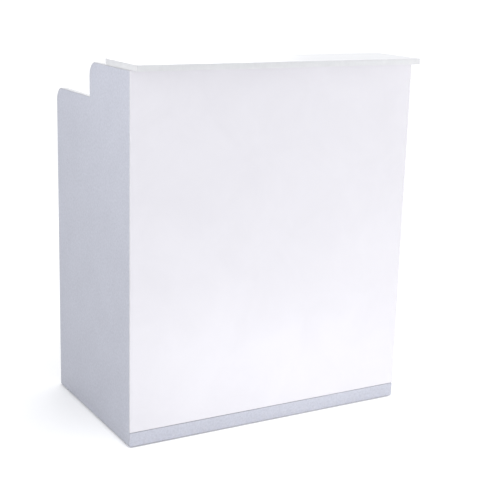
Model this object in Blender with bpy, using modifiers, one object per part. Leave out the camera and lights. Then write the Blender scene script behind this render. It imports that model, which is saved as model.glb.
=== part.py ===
"""A retail checkout counter, with its customer side facing -Y and its staff side facing +Y.

Two stepped side panels carry a front board, decks, a work surface and a narrow customer ledge. A till
drawer runs on telescopic slides under the work surface. The origin is the middle of the floor box.
"""

import math

import bmesh
import bpy
from mathutils import Matrix, Vector

# Driving dimensions, in metres
WIDTH = 0.905
BODY_DEPTH = 0.546
LEDGE_OVERHANG = 0.040
LEDGE_DEPTH = 0.207
HEIGHT = 1.067
BOARD = 0.016
UPPER_DEPTH = 0.283
STEP_HEIGHT = 0.952
KICK_HEIGHT = 0.045
CORNER_RADIUS = 0.042
FRONT_PANEL = 0.006
KICK_STRIP = 0.0055
BAND = 0.001
SIDE_BAND = 0.002
EASED_EDGE = 0.0006
EASED_BAND = 0.0003
GLIDE = 0.003

# Clearance between neighbours, and how far a bore runs past its fitting
GAP = 0.0003
BORE_SLACK = 0.0005

# Heights of the boards' undersides
DECK_Z = 0.061
SHELF_Z = 0.404
MID_SHELF_Z = 0.740
WORK_Z = 0.898
LEDGE_Z = HEIGHT - BOARD

# Depth lines
FRONT = -(BODY_DEPTH + LEDGE_OVERHANG) / 2 + LEDGE_OVERHANG
REAR = FRONT + BODY_DEPTH
BOARD_FRONT = FRONT + FRONT_PANEL + GAP
BOARD_BACK = BOARD_FRONT + BOARD
DECK_REAR = REAR - 0.020
INNER = WIDTH / 2 - BOARD
DIVIDER_X = 0.020

# Fittings
CAM_RADIUS = 0.0075
CAM_DEPTH = 0.012
CAM_SET = 0.034
BOLT_RADIUS = 0.003
BOLT_IN_SIDE = 0.011
DOWEL_RADIUS = 0.004
PIN_RADIUS = 0.0025
PIN_PITCH = 0.032
SCREW_RADIUS = 0.0018
HEAD_RADIUS = 0.0038

# Till drawer, with its front's outer face at DRAWER_Y
DRAWER_Y = DECK_REAR - BOARD
DRAWER_FRONT_INNER = DRAWER_Y - BOARD
DRAWER_WALL = 0.012
DRAWER_LENGTH = 0.384
DRAWER_Z = (0.770, 0.866)
SLIDE_SPACE = 0.0129
SLIDE_Z = 0.819
LOCK_Z = 0.872

ROUND = 16
SMALL_ROUND = 10
SIDES = (("left", -1), ("right", 1))


def clear_scene():
    for obj in list(bpy.data.objects):
        bpy.data.objects.remove(obj, do_unlink=True)


def new_collection(name):
    collection = bpy.data.collections.new(name)
    bpy.context.scene.collection.children.link(collection)
    return collection


clear_scene()
PARTS = new_collection("checkout_counter")
CUTTERS = new_collection("cutters")


def material(name, colour, roughness, metallic=0.0):
    made = bpy.data.materials.new(name)
    made.use_nodes = True
    shader = made.node_tree.nodes["Principled BSDF"]
    shader.inputs["Base Color"].default_value = (*colour, 1)
    shader.inputs["Roughness"].default_value = roughness
    shader.inputs["Metallic"].default_value = metallic
    return made


PEBBLED_WHITE = material("pebbled_white_melamine", (0.62, 0.63, 0.69), 0.55)
GLOSS_WHITE = material("gloss_white_laminate", (0.86, 0.86, 0.89), 0.2)
LEDGE_WHITE = material("ledge_white_laminate", (0.92, 0.92, 0.93), 0.3)
WHITE_BAND = material("white_edge_band", (0.78, 0.80, 0.80), 0.4)
WORK_GREY = material("work_surface_laminate", (0.55, 0.56, 0.60), 0.45)
DRAWER_WHITE = material("drawer_board", (0.70, 0.70, 0.72), 0.5)
HARDBOARD = material("drawer_hardboard", (0.66, 0.64, 0.60), 0.6)
ZINC = material("zinc_plated_steel", (0.62, 0.62, 0.64), 0.35, 1.0)
NICKEL = material("satin_nickel", (0.66, 0.65, 0.62), 0.3, 1.0)
BEECH = material("beech", (0.62, 0.45, 0.28), 0.6)
GREY_PLASTIC = material("grey_plastic", (0.35, 0.36, 0.38), 0.45)
BLACK_PLASTIC = material("black_plastic", (0.03, 0.03, 0.03), 0.5)


def add_box(bm, low, high):
    """A box from its lowest to its highest corner."""
    low, high = Vector(low), Vector(high)
    place = Matrix.Translation((low + high) / 2) @ Matrix.Diagonal((*(high - low), 1))
    bmesh.ops.create_cube(bm, size=1, matrix=place)


def add_rod(bm, start, end, radius, sides=SMALL_ROUND, end_radius=None):
    """A closed cylinder, or cone, from one point to another."""
    start, end = Vector(start), Vector(end)
    along = end - start
    turn = Vector((0, 0, 1)).rotation_difference(along).to_matrix().to_4x4()
    place = Matrix.Translation((start + end) / 2) @ turn
    far_radius = radius if end_radius is None else end_radius
    bmesh.ops.create_cone(
        bm, cap_ends=True, segments=sides, radius1=radius, radius2=far_radius,
        depth=along.length, matrix=place,
    )


def add_outline(bm, points, axis, low, high):
    """A flat outline drawn across an axis ("X", "Y" or "Z") and extruded from low to high along it."""
    def place(a, b, along):
        return {"X": (along, a, b), "Y": (a, along, b), "Z": (a, b, along)}[axis]

    face = bm.faces.new([bm.verts.new(place(a, b, low)) for a, b in points])
    step = Vector(place(0, 0, high - low))
    extruded = bmesh.ops.extrude_face_region(bm, geom=[face])["geom"]
    verts = [item for item in extruded if isinstance(item, bmesh.types.BMVert)]
    bmesh.ops.translate(bm, verts=verts, vec=step)
    bmesh.ops.recalc_face_normals(bm, faces=bm.faces)


def object_from(bm, name, collection, origin=(0, 0, 0)):
    """An object whose mesh was drawn in the counter's own frame, with its origin at the given point."""
    bmesh.ops.translate(bm, verts=bm.verts, vec=-Vector(origin))
    mesh = bpy.data.meshes.new(name)
    bm.to_mesh(mesh)
    bm.free()
    obj = bpy.data.objects.new(name, mesh)
    obj.location = origin
    collection.objects.link(obj)
    return obj


def piece(name, draw, finish, origin=(0, 0, 0), eased=0.0, smooth=False):
    """A named sub-part: draw fills its bmesh, and eased rounds its sharp edges."""
    bm = bmesh.new()
    draw(bm)
    obj = object_from(bm, name, PARTS, origin)
    obj.data.materials.append(finish)
    if smooth:
        obj.data.shade_smooth()
        obj.data.set_sharp_from_angle(angle=math.radians(35))
    if eased:
        bevel = obj.modifiers.new("eased_edges", "BEVEL")
        bevel.width = eased
        bevel.segments = 2
        bevel.limit_method = "ANGLE"
        bevel.angle_limit = math.radians(40)
    return obj


def cut(obj, name, draw):
    """Takes the drawn solids out of a sub-part."""
    bm = bmesh.new()
    draw(bm)
    cutter = object_from(bm, name, CUTTERS)
    cutter.hide_render = True
    cutter.display_type = "WIRE"
    boolean = obj.modifiers.new(name, "BOOLEAN")
    boolean.operation = "DIFFERENCE"
    boolean.solver = "EXACT"
    boolean.object = cutter


def board(name, low, high, finish, eased=EASED_EDGE):
    """A flat board, with its origin in its middle."""
    middle = (Vector(low) + Vector(high)) / 2
    return piece(name, lambda bm: add_box(bm, low, high), finish, middle, eased)


def rod(name, start, end, radius, finish, sides=SMALL_ROUND):
    """A round pin or dowel, with its origin at its start."""
    return piece(name, lambda bm: add_rod(bm, start, end, radius, sides), finish, start, smooth=True)


def stepped_path(inset):
    """The side panel's rear and top edge, from the rear foot to the front of the top, moved in by inset."""
    rear, upper = REAR - inset, FRONT + UPPER_DEPTH - inset
    step, top, radius = STEP_HEIGHT - inset, LEDGE_Z - GAP - inset, CORNER_RADIUS - inset
    arc_steps = 8
    path = [(rear, GLIDE + GAP)]
    for corner_y, corner_z in ((rear, step), (upper, top)):
        for i in range(arc_steps + 1):
            angle = math.pi / 2 * i / arc_steps
            y = corner_y - radius + radius * math.cos(angle)
            path.append((y, corner_z - radius + radius * math.sin(angle)))
        if corner_y == rear:
            path.append((upper, step))
    path.append((BOARD_FRONT, top))
    return path


# Where the boards' cam fittings lie: the depth, or the height, of each along the board's end
DECK_FIXINGS = (-0.170, 0.200)
WORK_FIXINGS = (-0.170, 0.170)
FRONT_FIXINGS = (0.160, 0.560, 0.960)
TOE_FIXING = 0.030
FRONT_MIDDLE = BOARD_FRONT + BOARD / 2
REAR_TOE_MIDDLE = DECK_REAR - BOARD - BOARD / 2


def fittings():
    """Each cam fitting as (board, side, bolt's y and z at the board's end, which way the cam faces)."""
    level_boards = (
        ("bottom_deck", DECK_Z, DECK_FIXINGS),
        ("mid_shelf", MID_SHELF_Z, DECK_FIXINGS),
        ("work_surface", WORK_Z, WORK_FIXINGS),
    )
    for side in (-1, 1):
        for name, underside, depths in level_boards:
            for y in depths:
                yield name, side, y, underside + BOARD / 2, Vector((0, 0, -1))
        for z in FRONT_FIXINGS:
            yield "front_board", side, FRONT_MIDDLE, z, Vector((0, 1, 0))
        yield "toe_board", side, FRONT_MIDDLE, TOE_FIXING, Vector((0, 1, 0))
        yield "rear_toe_board", side, REAR_TOE_MIDDLE, TOE_FIXING, Vector((0, -1, 0))


def cam_bore(side, y, z, facing):
    """A cam bore's axis, from just outside the board's face to its blind end."""
    centre = Vector((side * (INNER - CAM_SET), y, z))
    return centre + facing * (BOARD / 2 + 0.001), centre + facing * (BOARD / 2 - CAM_DEPTH - GAP)


def cut_fittings(boards):
    """Bores each board and side panel for its cams and bolts."""
    for name, obj in boards.items():
        own = [f for f in fittings() if f[0] == name]

        def cams(bm):
            for _, side, y, z, facing in own:
                add_rod(bm, *cam_bore(side, y, z, facing), CAM_RADIUS + GAP, ROUND)

        def bolts(bm):
            for _, side, y, z, _ in own:
                add_rod(bm, (side * (INNER + 0.002), y, z), (side * (INNER - CAM_SET), y, z),
                        BOLT_RADIUS + GAP)

        cut(obj, name + "_cam_bores", cams)
        cut(obj, name + "_bolt_bores", bolts)


# Shelf pins
PIN_COLUMNS = (-0.165, 0.205)
PIN_ROW_COUNT = 7
PIN_ROW_MIDDLE = SHELF_Z - GAP - PIN_RADIUS
PIN_IN_SIDE = 0.009
PIN_OUT = 0.0105


def pin_heights():
    return [PIN_ROW_MIDDLE + PIN_PITCH * (i - PIN_ROW_COUNT // 2) for i in range(PIN_ROW_COUNT)]


def make_shelf_pins():
    for hand, side in SIDES:
        for place, y in zip(("front", "rear"), PIN_COLUMNS):
            rod(f"shelf_pin_{hand}_{place}", (side * (INNER + PIN_IN_SIDE), y, PIN_ROW_MIDDLE),
                (side * (INNER - PIN_OUT), y, PIN_ROW_MIDDLE), PIN_RADIUS, NICKEL)


# Slides: distance from the wall to each member's web, and half its height
SLIDE_REACH = (DRAWER_FRONT_INNER - 0.382, DRAWER_FRONT_INNER - 0.002)
SLIDE_SHEET = 0.0012
SLIDE_SCREWS = (SLIDE_REACH[0] + 0.035, SLIDE_REACH[1] - 0.050)
SLIDE_WALLS = (("left", -INNER, 1), ("right", DIVIDER_X - BOARD / 2, -1))


def channel(web, lip, half):
    """A C-shaped section: its web at one distance from the wall, its flanges reaching to another."""
    toward = 1 if lip > web else -1
    inside = web + toward * SLIDE_SHEET
    hollow = half - SLIDE_SHEET
    return [(web, -half), (lip, -half), (lip, -hollow), (inside, -hollow),
            (inside, hollow), (lip, hollow), (lip, half), (web, half)]


def make_slides():
    sections = (
        ("outer", channel(GAP, 0.0090, 0.0225)),
        ("middle", channel(0.0040, 0.0108, 0.0185)),
        ("inner", channel(SLIDE_SPACE - GAP, 0.0070, 0.0145)),
    )
    for hand, wall, inward in SLIDE_WALLS:
        for part_name, section in sections:
            points = [(wall + inward * x, SLIDE_Z + z) for x, z in section]
            obj = piece(
                f"{hand}_slide_{part_name}",
                lambda bm, p=points: add_outline(bm, p, "Y", *SLIDE_REACH),
                ZINC,
                (wall + inward * SLIDE_SPACE / 2, sum(SLIDE_REACH) / 2, SLIDE_Z),
            )
            if part_name != "middle":
                cut(obj, obj.name + "_holes", lambda bm, w=wall, i=inward: slide_holes(bm, w, i))


def slide_holes(bm, wall, inward):
    """Bores across the whole slide, into the wall on one side and the drawer on the other."""
    for y in SLIDE_SCREWS:
        add_rod(bm, (wall - inward * 0.010, y, SLIDE_Z),
                (wall + inward * 0.0030, y, SLIDE_Z), SCREW_RADIUS + GAP)
        add_rod(bm, (wall + inward * 0.0095, y, SLIDE_Z),
                (wall + inward * (SLIDE_SPACE + 0.009), y, SLIDE_Z), SCREW_RADIUS + GAP)


def add_screw(bm, under_head, tip, head_height=0.0015, head_radius=HEAD_RADIUS, radius=SCREW_RADIUS):
    """A screw as one turned solid: a shank up to a flat head."""
    under_head, tip = Vector(under_head), Vector(tip)
    back = (under_head - tip).normalized()
    turn = Vector((0, 0, 1)).rotation_difference(back).to_matrix().to_4x4()
    length = (under_head - tip).length
    profile = [(0, 0), (radius, 0), (radius, length), (head_radius, length),
               (head_radius * 0.9, length + head_height), (0, length + head_height)]
    verts = [bm.verts.new((r, 0, z)) for r, z in profile]
    edges = [bm.edges.new(pair) for pair in zip(verts, verts[1:])]
    before = set(bm.verts) - set(verts)
    bmesh.ops.spin(bm, geom=verts + edges, cent=(0, 0, 0), axis=(0, 0, 1), angle=math.tau,
                   steps=SMALL_ROUND, use_merge=True)
    fresh = [v for v in bm.verts if v not in before]
    bmesh.ops.remove_doubles(bm, verts=fresh, dist=1e-6)
    fresh = [v for v in bm.verts if v not in before]
    bmesh.ops.transform(bm, matrix=Matrix.Translation(tip) @ turn, verts=fresh)
    bmesh.ops.recalc_face_normals(bm, faces=bm.faces)


def screw(name, under_head, tip, finish=ZINC, **sizes):
    """A screw, with its origin under its head."""
    piece(name, lambda bm: add_screw(bm, under_head, tip, **sizes), finish, under_head, smooth=True)


# Carcass ---------------------------------------------------------------------------------------

LEDGE_DOWELS = (-0.205, -0.115)
CLEAT_HALF = 0.32
CLEAT_HEIGHT = 0.040
CLEAT_DEPTH = 0.020
CLEAT_SCREWS = (-0.26, 0, 0.26)
CLEAT_SCREW_SET = 0.013
DIVIDER_DOWELS = (-0.15, 0.10)
DOWEL_HALF = 0.010
GLIDE_Y = (-0.215, 0.235)
FRONT_SCREWS = [(x, z) for x in (-0.36, 0, 0.36) for z in (0.14, 0.60, 1.00)]
KICK_SCREWS = [(x, 0.024) for x in (-0.38, 0, 0.38)]
SIDE_MIDDLE = WIDTH / 2 - BOARD / 2


def make_side(hand, side):
    """A stepped side panel and the band over its rear and top edges."""
    low, high = sorted((side * INNER, side * WIDTH / 2))
    outline = [(BOARD_FRONT, GLIDE + GAP)] + stepped_path(SIDE_BAND + GAP)
    origin = (side * SIDE_MIDDLE, 0, LEDGE_Z / 2)
    panel = piece(hand + "_side_panel", lambda bm: add_outline(bm, outline, "X", low, high),
                  PEBBLED_WHITE, origin, EASED_EDGE)
    strip = stepped_path(0) + stepped_path(SIDE_BAND)[::-1]
    piece(hand + "_side_edge_band", lambda bm: add_outline(bm, strip, "X", low, high),
          WHITE_BAND, origin, EASED_EDGE)

    def bores(bm):
        for _, fitting_side, y, z, _ in fittings():
            if fitting_side == side:
                add_rod(bm, (side * (INNER + BOLT_IN_SIDE), y, z),
                        (side * (INNER - 0.002), y, z), BOLT_RADIUS + GAP)
        for y in PIN_COLUMNS:
            for z in pin_heights():
                add_rod(bm, (side * (INNER + PIN_IN_SIDE + 0.001), y, z),
                        (side * (INNER - 0.002), y, z), PIN_RADIUS + GAP)
        for y in LEDGE_DOWELS:
            add_rod(bm, (side * SIDE_MIDDLE, y, LEDGE_Z - 0.026),
                    (side * SIDE_MIDDLE, y, LEDGE_Z + 0.001), DOWEL_RADIUS + GAP)
        for y in GLIDE_Y:
            add_rod(bm, (side * SIDE_MIDDLE, y, 0), (side * SIDE_MIDDLE, y, 0.018), 0.0015)

    cut(panel, hand + "_side_bores", bores)
    if side < 0:
        cut(panel, "left_slide_bores", lambda bm: slide_holes(bm, -INNER, 1))

    def band_holes(bm):
        for y in LEDGE_DOWELS:
            add_rod(bm, (side * SIDE_MIDDLE, y, LEDGE_Z - 0.006),
                    (side * SIDE_MIDDLE, y, LEDGE_Z + 0.001), DOWEL_RADIUS + GAP)

    cut(bpy.data.objects[hand + "_side_edge_band"], hand + "_band_bores", band_holes)


def banded_board(name, x_low, x_high, y_front, y_rear, underside, finish, thickness=BOARD):
    """A level board with a band on its staff-side edge."""
    made = board(name, (x_low, y_front, underside),
                 (x_high, y_rear - BAND - GAP, underside + thickness), finish)
    board(name + "_edge_band", (x_low, y_rear - BAND, underside),
          (x_high, y_rear, underside + thickness), WHITE_BAND, eased=EASED_BAND)
    return made


def make_carcass():
    make_side("left", -1)
    make_side("right", 1)
    reach = INNER - GAP
    boards = {
        "bottom_deck": banded_board("bottom_deck", -reach, reach, BOARD_BACK + GAP, DECK_REAR,
                                    DECK_Z, PEBBLED_WHITE),
        "mid_shelf": banded_board("mid_shelf", -reach, reach, BOARD_BACK + GAP, DECK_REAR,
                                  MID_SHELF_Z, PEBBLED_WHITE),
        "work_surface": banded_board("work_surface", -reach, reach, BOARD_BACK + GAP, DECK_REAR,
                                     WORK_Z, WORK_GREY),
        "front_board": board("front_board", (-reach, BOARD_FRONT, DECK_Z),
                             (reach, BOARD_BACK, LEDGE_Z - GAP), PEBBLED_WHITE),
        "toe_board": board("toe_board", (-reach, BOARD_FRONT, GLIDE + GAP),
                           (reach, BOARD_BACK, DECK_Z - GAP), PEBBLED_WHITE),
        "rear_toe_board": board("rear_toe_board", (-reach, REAR_TOE_MIDDLE - BOARD / 2, GLIDE + GAP),
                                (reach, REAR_TOE_MIDDLE + BOARD / 2, DECK_Z - GAP), PEBBLED_WHITE),
    }
    cut_fittings(boards)
    return boards


def make_front(front_board, toe_board):
    """The decorative front panel and the kick strip, screwed on from inside."""
    front = board("front_panel", (-WIDTH / 2, FRONT, KICK_HEIGHT + GAP),
                  (WIDTH / 2, FRONT + FRONT_PANEL, LEDGE_Z - GAP), GLOSS_WHITE)
    kick_front = FRONT + FRONT_PANEL - KICK_STRIP
    kick = board("kick_strip", (-WIDTH / 2, kick_front, GLIDE + GAP),
                 (WIDTH / 2, FRONT + FRONT_PANEL, KICK_HEIGHT - 0.0012), PEBBLED_WHITE)
    for panel, backing, spots in ((front, front_board, FRONT_SCREWS), (kick, toe_board, KICK_SCREWS)):
        def bores(bm):
            for x, z in spots:
                add_rod(bm, (x, FRONT + 0.0018, z), (x, BOARD_BACK + 0.001, z), SCREW_RADIUS + GAP)

        cut(panel, panel.name + "_screw_bores", bores)
        cut(backing, panel.name + "_backing_bores", bores)


def make_ledge():
    """The customer ledge, banded all round, with the cleat that ties it to the front board."""
    half, front, rear = WIDTH / 2, FRONT - LEDGE_OVERHANG, FRONT - LEDGE_OVERHANG + LEDGE_DEPTH
    inset = BAND + GAP
    ledge = board("customer_ledge", (-half + inset, front + inset, LEDGE_Z),
                  (half - inset, rear - inset, HEIGHT), LEDGE_WHITE)

    def ring(bm):
        add_box(bm, (-half, front, LEDGE_Z), (half, rear, HEIGHT))

    band = piece("customer_ledge_edge_band", ring, WHITE_BAND, (0, (front + rear) / 2, LEDGE_Z), EASED_EDGE)
    cut(band, "ledge_band_core", lambda bm: add_box(
        bm, (-half + BAND, front + BAND, LEDGE_Z - 0.01), (half - BAND, rear - BAND, HEIGHT + 0.01)))

    cleat_front = BOARD_BACK + GAP
    cleat = board("ledge_cleat", (-CLEAT_HALF, cleat_front, LEDGE_Z - CLEAT_HEIGHT),
                  (CLEAT_HALF, cleat_front + CLEAT_DEPTH, LEDGE_Z - GAP), BEECH)
    up_spots = [(x, BOARD_BACK + CLEAT_SCREW_SET) for x in CLEAT_SCREWS]

    def ledge_bores(bm):
        for side in (-1, 1):
            for y in LEDGE_DOWELS:
                add_rod(bm, (side * SIDE_MIDDLE, y, LEDGE_Z - 0.001),
                        (side * SIDE_MIDDLE, y, LEDGE_Z + 0.0105), DOWEL_RADIUS + GAP)
        for x, y in up_spots:
            add_rod(bm, (x, y, LEDGE_Z - 0.001), (x, y, LEDGE_Z + 0.0115), SCREW_RADIUS + GAP)

    cut(ledge, "ledge_bores", ledge_bores)
    cut(cleat, "cleat_bores", lambda bm: [
        add_rod(bm, (x, y, LEDGE_Z - 0.045), (x, y, LEDGE_Z + 0.002), SCREW_RADIUS + GAP)
        for x, y in up_spots])
    for hand, side in SIDES:
        for place, y in zip(("front", "rear"), LEDGE_DOWELS):
            rod(f"ledge_dowel_{hand}_{place}", (side * SIDE_MIDDLE, y, LEDGE_Z - 0.0255),
                (side * SIDE_MIDDLE, y, LEDGE_Z + 0.010), DOWEL_RADIUS, BEECH)


def make_inner_boards(mid_shelf, work_surface):
    """The divider between the drawer and the open bay, and the loose shelf on its pins."""
    low, high = DIVIDER_X - BOARD / 2, DIVIDER_X + BOARD / 2
    base, top = MID_SHELF_Z + BOARD + GAP, WORK_Z - GAP
    divider = board("centre_divider", (low, BOARD_BACK + GAP, base),
                    (high, DECK_REAR - BAND - GAP, top), PEBBLED_WHITE)
    board("centre_divider_edge_band", (low, DECK_REAR - BAND, base), (high, DECK_REAR, top),
          WHITE_BAND, eased=EASED_BAND)
    reach = DOWEL_HALF + BORE_SLACK

    def bores(bm):
        for y in DIVIDER_DOWELS:
            for z in (base - GAP, top):
                add_rod(bm, (DIVIDER_X, y, z - reach), (DIVIDER_X, y, z + reach), DOWEL_RADIUS + GAP)

    for obj in (divider, mid_shelf, work_surface):
        cut(obj, obj.name + "_dowel_bores", bores)
    cut(divider, "right_slide_bores", lambda bm: slide_holes(bm, low, -1))

    banded_board("adjustable_shelf", -INNER + 0.001, INNER - 0.001, BOARD_BACK + 0.004,
                 DECK_REAR - 0.012, SHELF_Z, PEBBLED_WHITE)
    make_shelf_pins()


def make_glides():
    for hand, side in SIDES:
        for place, y in zip(("front", "rear"), GLIDE_Y):
            x = side * SIDE_MIDDLE
            screw(f"floor_glide_{hand}_{place}", (x, y, GLIDE), (x, y, 0.0175), GREY_PLASTIC,
                  head_height=GLIDE, head_radius=0.0078, radius=0.0011)


# Cable grommet ----------------------------------------------------------------------------------

GROMMET = Vector((0.300, -0.120, WORK_Z + BOARD))
GROMMET_RADIUS = 0.030
GROMMET_FLANGE = 0.0022
GROMMET_ROUND = 32


def turned(profile, name, finish, origin, steps=GROMMET_ROUND):
    """A ring or disc turned about +Z from a closed profile of (radius, height) points."""
    def draw(bm):
        verts = [bm.verts.new((r, 0, z)) for r, z in profile]
        edges = [bm.edges.new(pair) for pair in zip(verts, verts[1:] + verts[:1])]
        bmesh.ops.spin(bm, geom=verts + edges, cent=(0, 0, 0), axis=(0, 0, 1), angle=math.tau,
                       steps=steps, use_merge=True)
        bmesh.ops.remove_doubles(bm, verts=bm.verts, dist=1e-6)
        bmesh.ops.recalc_face_normals(bm, faces=bm.faces)
        bmesh.ops.translate(bm, verts=bm.verts, vec=origin)

    return piece(name, draw, finish, origin, smooth=True)


def make_grommet(work_surface):
    cut(work_surface, "grommet_hole", lambda bm: add_rod(
        bm, GROMMET - Vector((0, 0, 0.03)), GROMMET + Vector((0, 0, 0.01)), GROMMET_RADIUS, GROMMET_ROUND))
    outer, inner = GROMMET_RADIUS - 0.0004, GROMMET_RADIUS - 0.0022
    ledge_radius, flange = inner - 0.0020, GROMMET_RADIUS + 0.005
    turned([(outer, -BOARD + 0.002), (outer, GAP), (flange, GAP), (flange - 0.0008, GROMMET_FLANGE),
            (inner, GROMMET_FLANGE), (inner, -0.0035), (ledge_radius, -0.0035), (ledge_radius, -0.0055),
            (inner, -0.0055), (inner, -BOARD + 0.002)],
           "cable_grommet_liner", BLACK_PLASTIC, GROMMET)
    cap_radius = inner - GAP
    cap = piece("cable_grommet_cap", lambda bm: add_rod(
        bm, GROMMET + Vector((0, 0, -0.0035 + GAP)), GROMMET + Vector((0, 0, GROMMET_FLANGE - 0.0004)),
        cap_radius, GROMMET_ROUND), BLACK_PLASTIC, GROMMET, smooth=True)
    notch = GROMMET + Vector((0, cap_radius - 0.015, 0))

    def slot(bm):
        add_box(bm, notch + Vector((-0.009, 0, -0.02)), notch + Vector((0.009, 0.04, 0.02)))

    cut(cap, "grommet_slot", slot)
    cut(cap, "grommet_slot_end", lambda bm: add_rod(
        bm, notch + Vector((0, 0, -0.021)), notch + Vector((0, 0, 0.021)), 0.009, ROUND))


# Till drawer ------------------------------------------------------------------------------------

BAY_LEFT, BAY_RIGHT = -INNER, DIVIDER_X - BOARD / 2
BOX_LEFT, BOX_RIGHT = BAY_LEFT + SLIDE_SPACE, BAY_RIGHT - SLIDE_SPACE
BAY_MIDDLE = (BAY_LEFT + BAY_RIGHT) / 2
BOX_BACK = DRAWER_FRONT_INNER - DRAWER_LENGTH
BOTTOM_Z = (0.776, 0.780)
GROOVE = 0.006
BOX_FIXINGS = (0.794, 0.848)
BOX_DOWEL_RADIUS = 0.003
BOX_SCREW = 0.032
REVEAL = 0.003
PULL_SPREAD = 0.064
PULL_Z = 0.822
PULL_REACH = 0.026
PULL_RADIUS = 0.004
PULL_SCREW_GRIP = 0.008


def make_drawer_box():
    face = board("drawer_front",
                 (BAY_LEFT + REVEAL, DRAWER_FRONT_INNER, MID_SHELF_Z + BOARD + REVEAL),
                 (BAY_RIGHT - REVEAL, DRAWER_Y, WORK_Z - REVEAL), DRAWER_WHITE)
    back_low, back_high = DRAWER_Z[0] + 0.0103, DRAWER_Z[1] - 0.006
    back = board("drawer_back", (BOX_LEFT + DRAWER_WALL + GAP, BOX_BACK, back_low),
                 (BOX_RIGHT - DRAWER_WALL - GAP, BOX_BACK + DRAWER_WALL, back_high), DRAWER_WHITE)
    walls = (("left", BOX_LEFT, 1, BAY_LEFT), ("right", BOX_RIGHT, -1, BAY_RIGHT))

    def dowel_bores(bm):
        for _, outer, inward, _ in walls:
            x = outer + inward * DRAWER_WALL / 2
            for z in BOX_FIXINGS:
                add_rod(bm, (x, DRAWER_FRONT_INNER - 0.020 - BORE_SLACK, z),
                        (x, DRAWER_FRONT_INNER + 0.010 + BORE_SLACK, z), BOX_DOWEL_RADIUS + GAP)

    def screw_bores(bm):
        y = BOX_BACK + DRAWER_WALL / 2
        for _, outer, inward, _ in walls:
            for z in BOX_FIXINGS:
                add_rod(bm, (outer - inward * (GAP + 0.002), y, z),
                        (outer + inward * (BOX_SCREW + BORE_SLACK), y, z), SCREW_RADIUS + GAP)

    for hand, outer, inward, anchor in walls:
        low, high = sorted((outer, outer + inward * DRAWER_WALL))
        wall = board(f"drawer_{hand}_side", (low, BOX_BACK, DRAWER_Z[0]),
                     (high, DRAWER_FRONT_INNER - GAP, DRAWER_Z[1]), DRAWER_WHITE)
        groove = sorted((outer + inward * (DRAWER_WALL - GROOVE - GAP),
                         outer + inward * (DRAWER_WALL + 0.01)))
        cut(wall, f"drawer_{hand}_groove", lambda bm, g=groove: add_box(
            bm, (g[0], BOX_BACK - 0.01, BOTTOM_Z[0] - GAP),
            (g[1], DRAWER_FRONT_INNER + 0.01, BOTTOM_Z[1] + GAP)))
        cut(wall, f"drawer_{hand}_dowel_bores", dowel_bores)
        cut(wall, f"drawer_{hand}_screw_bores", screw_bores)
        cut(wall, f"drawer_{hand}_slide_bores",
            lambda bm, a=anchor, i=inward: slide_holes(bm, a, i))
    cut(face, "drawer_front_dowel_bores", dowel_bores)
    cut(back, "drawer_back_screw_bores", screw_bores)
    grip = DRAWER_WALL - GROOVE
    board("drawer_bottom", (BOX_LEFT + grip, BOX_BACK, BOTTOM_Z[0]),
          (BOX_RIGHT - grip, DRAWER_FRONT_INNER - GAP, BOTTOM_Z[1]), HARDBOARD, eased=0)
    return face


def pull_path():
    """The bar pull's centre line: out from one post, round, along the bar, round and back."""
    corner, steps = 0.009, 5
    left, right = BAY_MIDDLE - PULL_SPREAD, BAY_MIDDLE + PULL_SPREAD
    bar_y = DRAWER_Y + PULL_REACH
    path = [(left, DRAWER_Y + GAP)]
    for x, start in ((left + corner, math.pi), (right - corner, math.pi / 2)):
        for i in range(steps + 1):
            angle = start - math.pi / 2 * i / steps
            path.append((x + corner * math.cos(angle), bar_y - corner + corner * math.sin(angle)))
    path.append((right, DRAWER_Y + GAP))
    return [Vector((x, y, PULL_Z)) for x, y in path]


def make_pull(drawer_front):
    curve = bpy.data.curves.new("drawer_pull", "CURVE")
    curve.dimensions = "3D"
    curve.bevel_depth = PULL_RADIUS
    curve.bevel_resolution = 2
    curve.use_fill_caps = True
    spline = curve.splines.new("POLY")
    path = pull_path()
    spline.points.add(len(path) - 1)
    for point, place in zip(spline.points, path):
        point.co = (*place, 1)
    guide = bpy.data.objects.new("pull_guide", curve)
    PARTS.objects.link(guide)
    bpy.context.view_layer.update()
    mesh = bpy.data.meshes.new_from_object(guide.evaluated_get(bpy.context.evaluated_depsgraph_get()))
    bpy.data.objects.remove(guide)
    bm = bmesh.new()
    bm.from_mesh(mesh)
    bpy.data.meshes.remove(mesh)
    bmesh.ops.remove_doubles(bm, verts=bm.verts, dist=1e-5)
    bmesh.ops.recalc_face_normals(bm, faces=bm.faces)
    pull = object_from(bm, "drawer_pull", PARTS, (BAY_MIDDLE, DRAWER_Y, PULL_Z))
    pull.data.materials.clear()
    pull.data.materials.append(NICKEL)
    pull.data.shade_smooth()
    pull.data.set_sharp_from_angle(angle=math.radians(35))
    spots = [BAY_MIDDLE - PULL_SPREAD, BAY_MIDDLE + PULL_SPREAD]

    def bores(bm):
        for x in spots:
            add_rod(bm, (x, DRAWER_FRONT_INNER - 0.002, PULL_Z),
                    (x, DRAWER_Y + PULL_SCREW_GRIP + BORE_SLACK, PULL_Z), SCREW_RADIUS + GAP)

    cut(pull, "pull_bores", bores)
    cut(drawer_front, "pull_screw_bores", bores)
    for (hand, _), x in zip(SIDES, spots):
        screw(f"drawer_pull_screw_{hand}", (x, DRAWER_FRONT_INNER - GAP, PULL_Z),
              (x, DRAWER_Y + PULL_SCREW_GRIP, PULL_Z))


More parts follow.
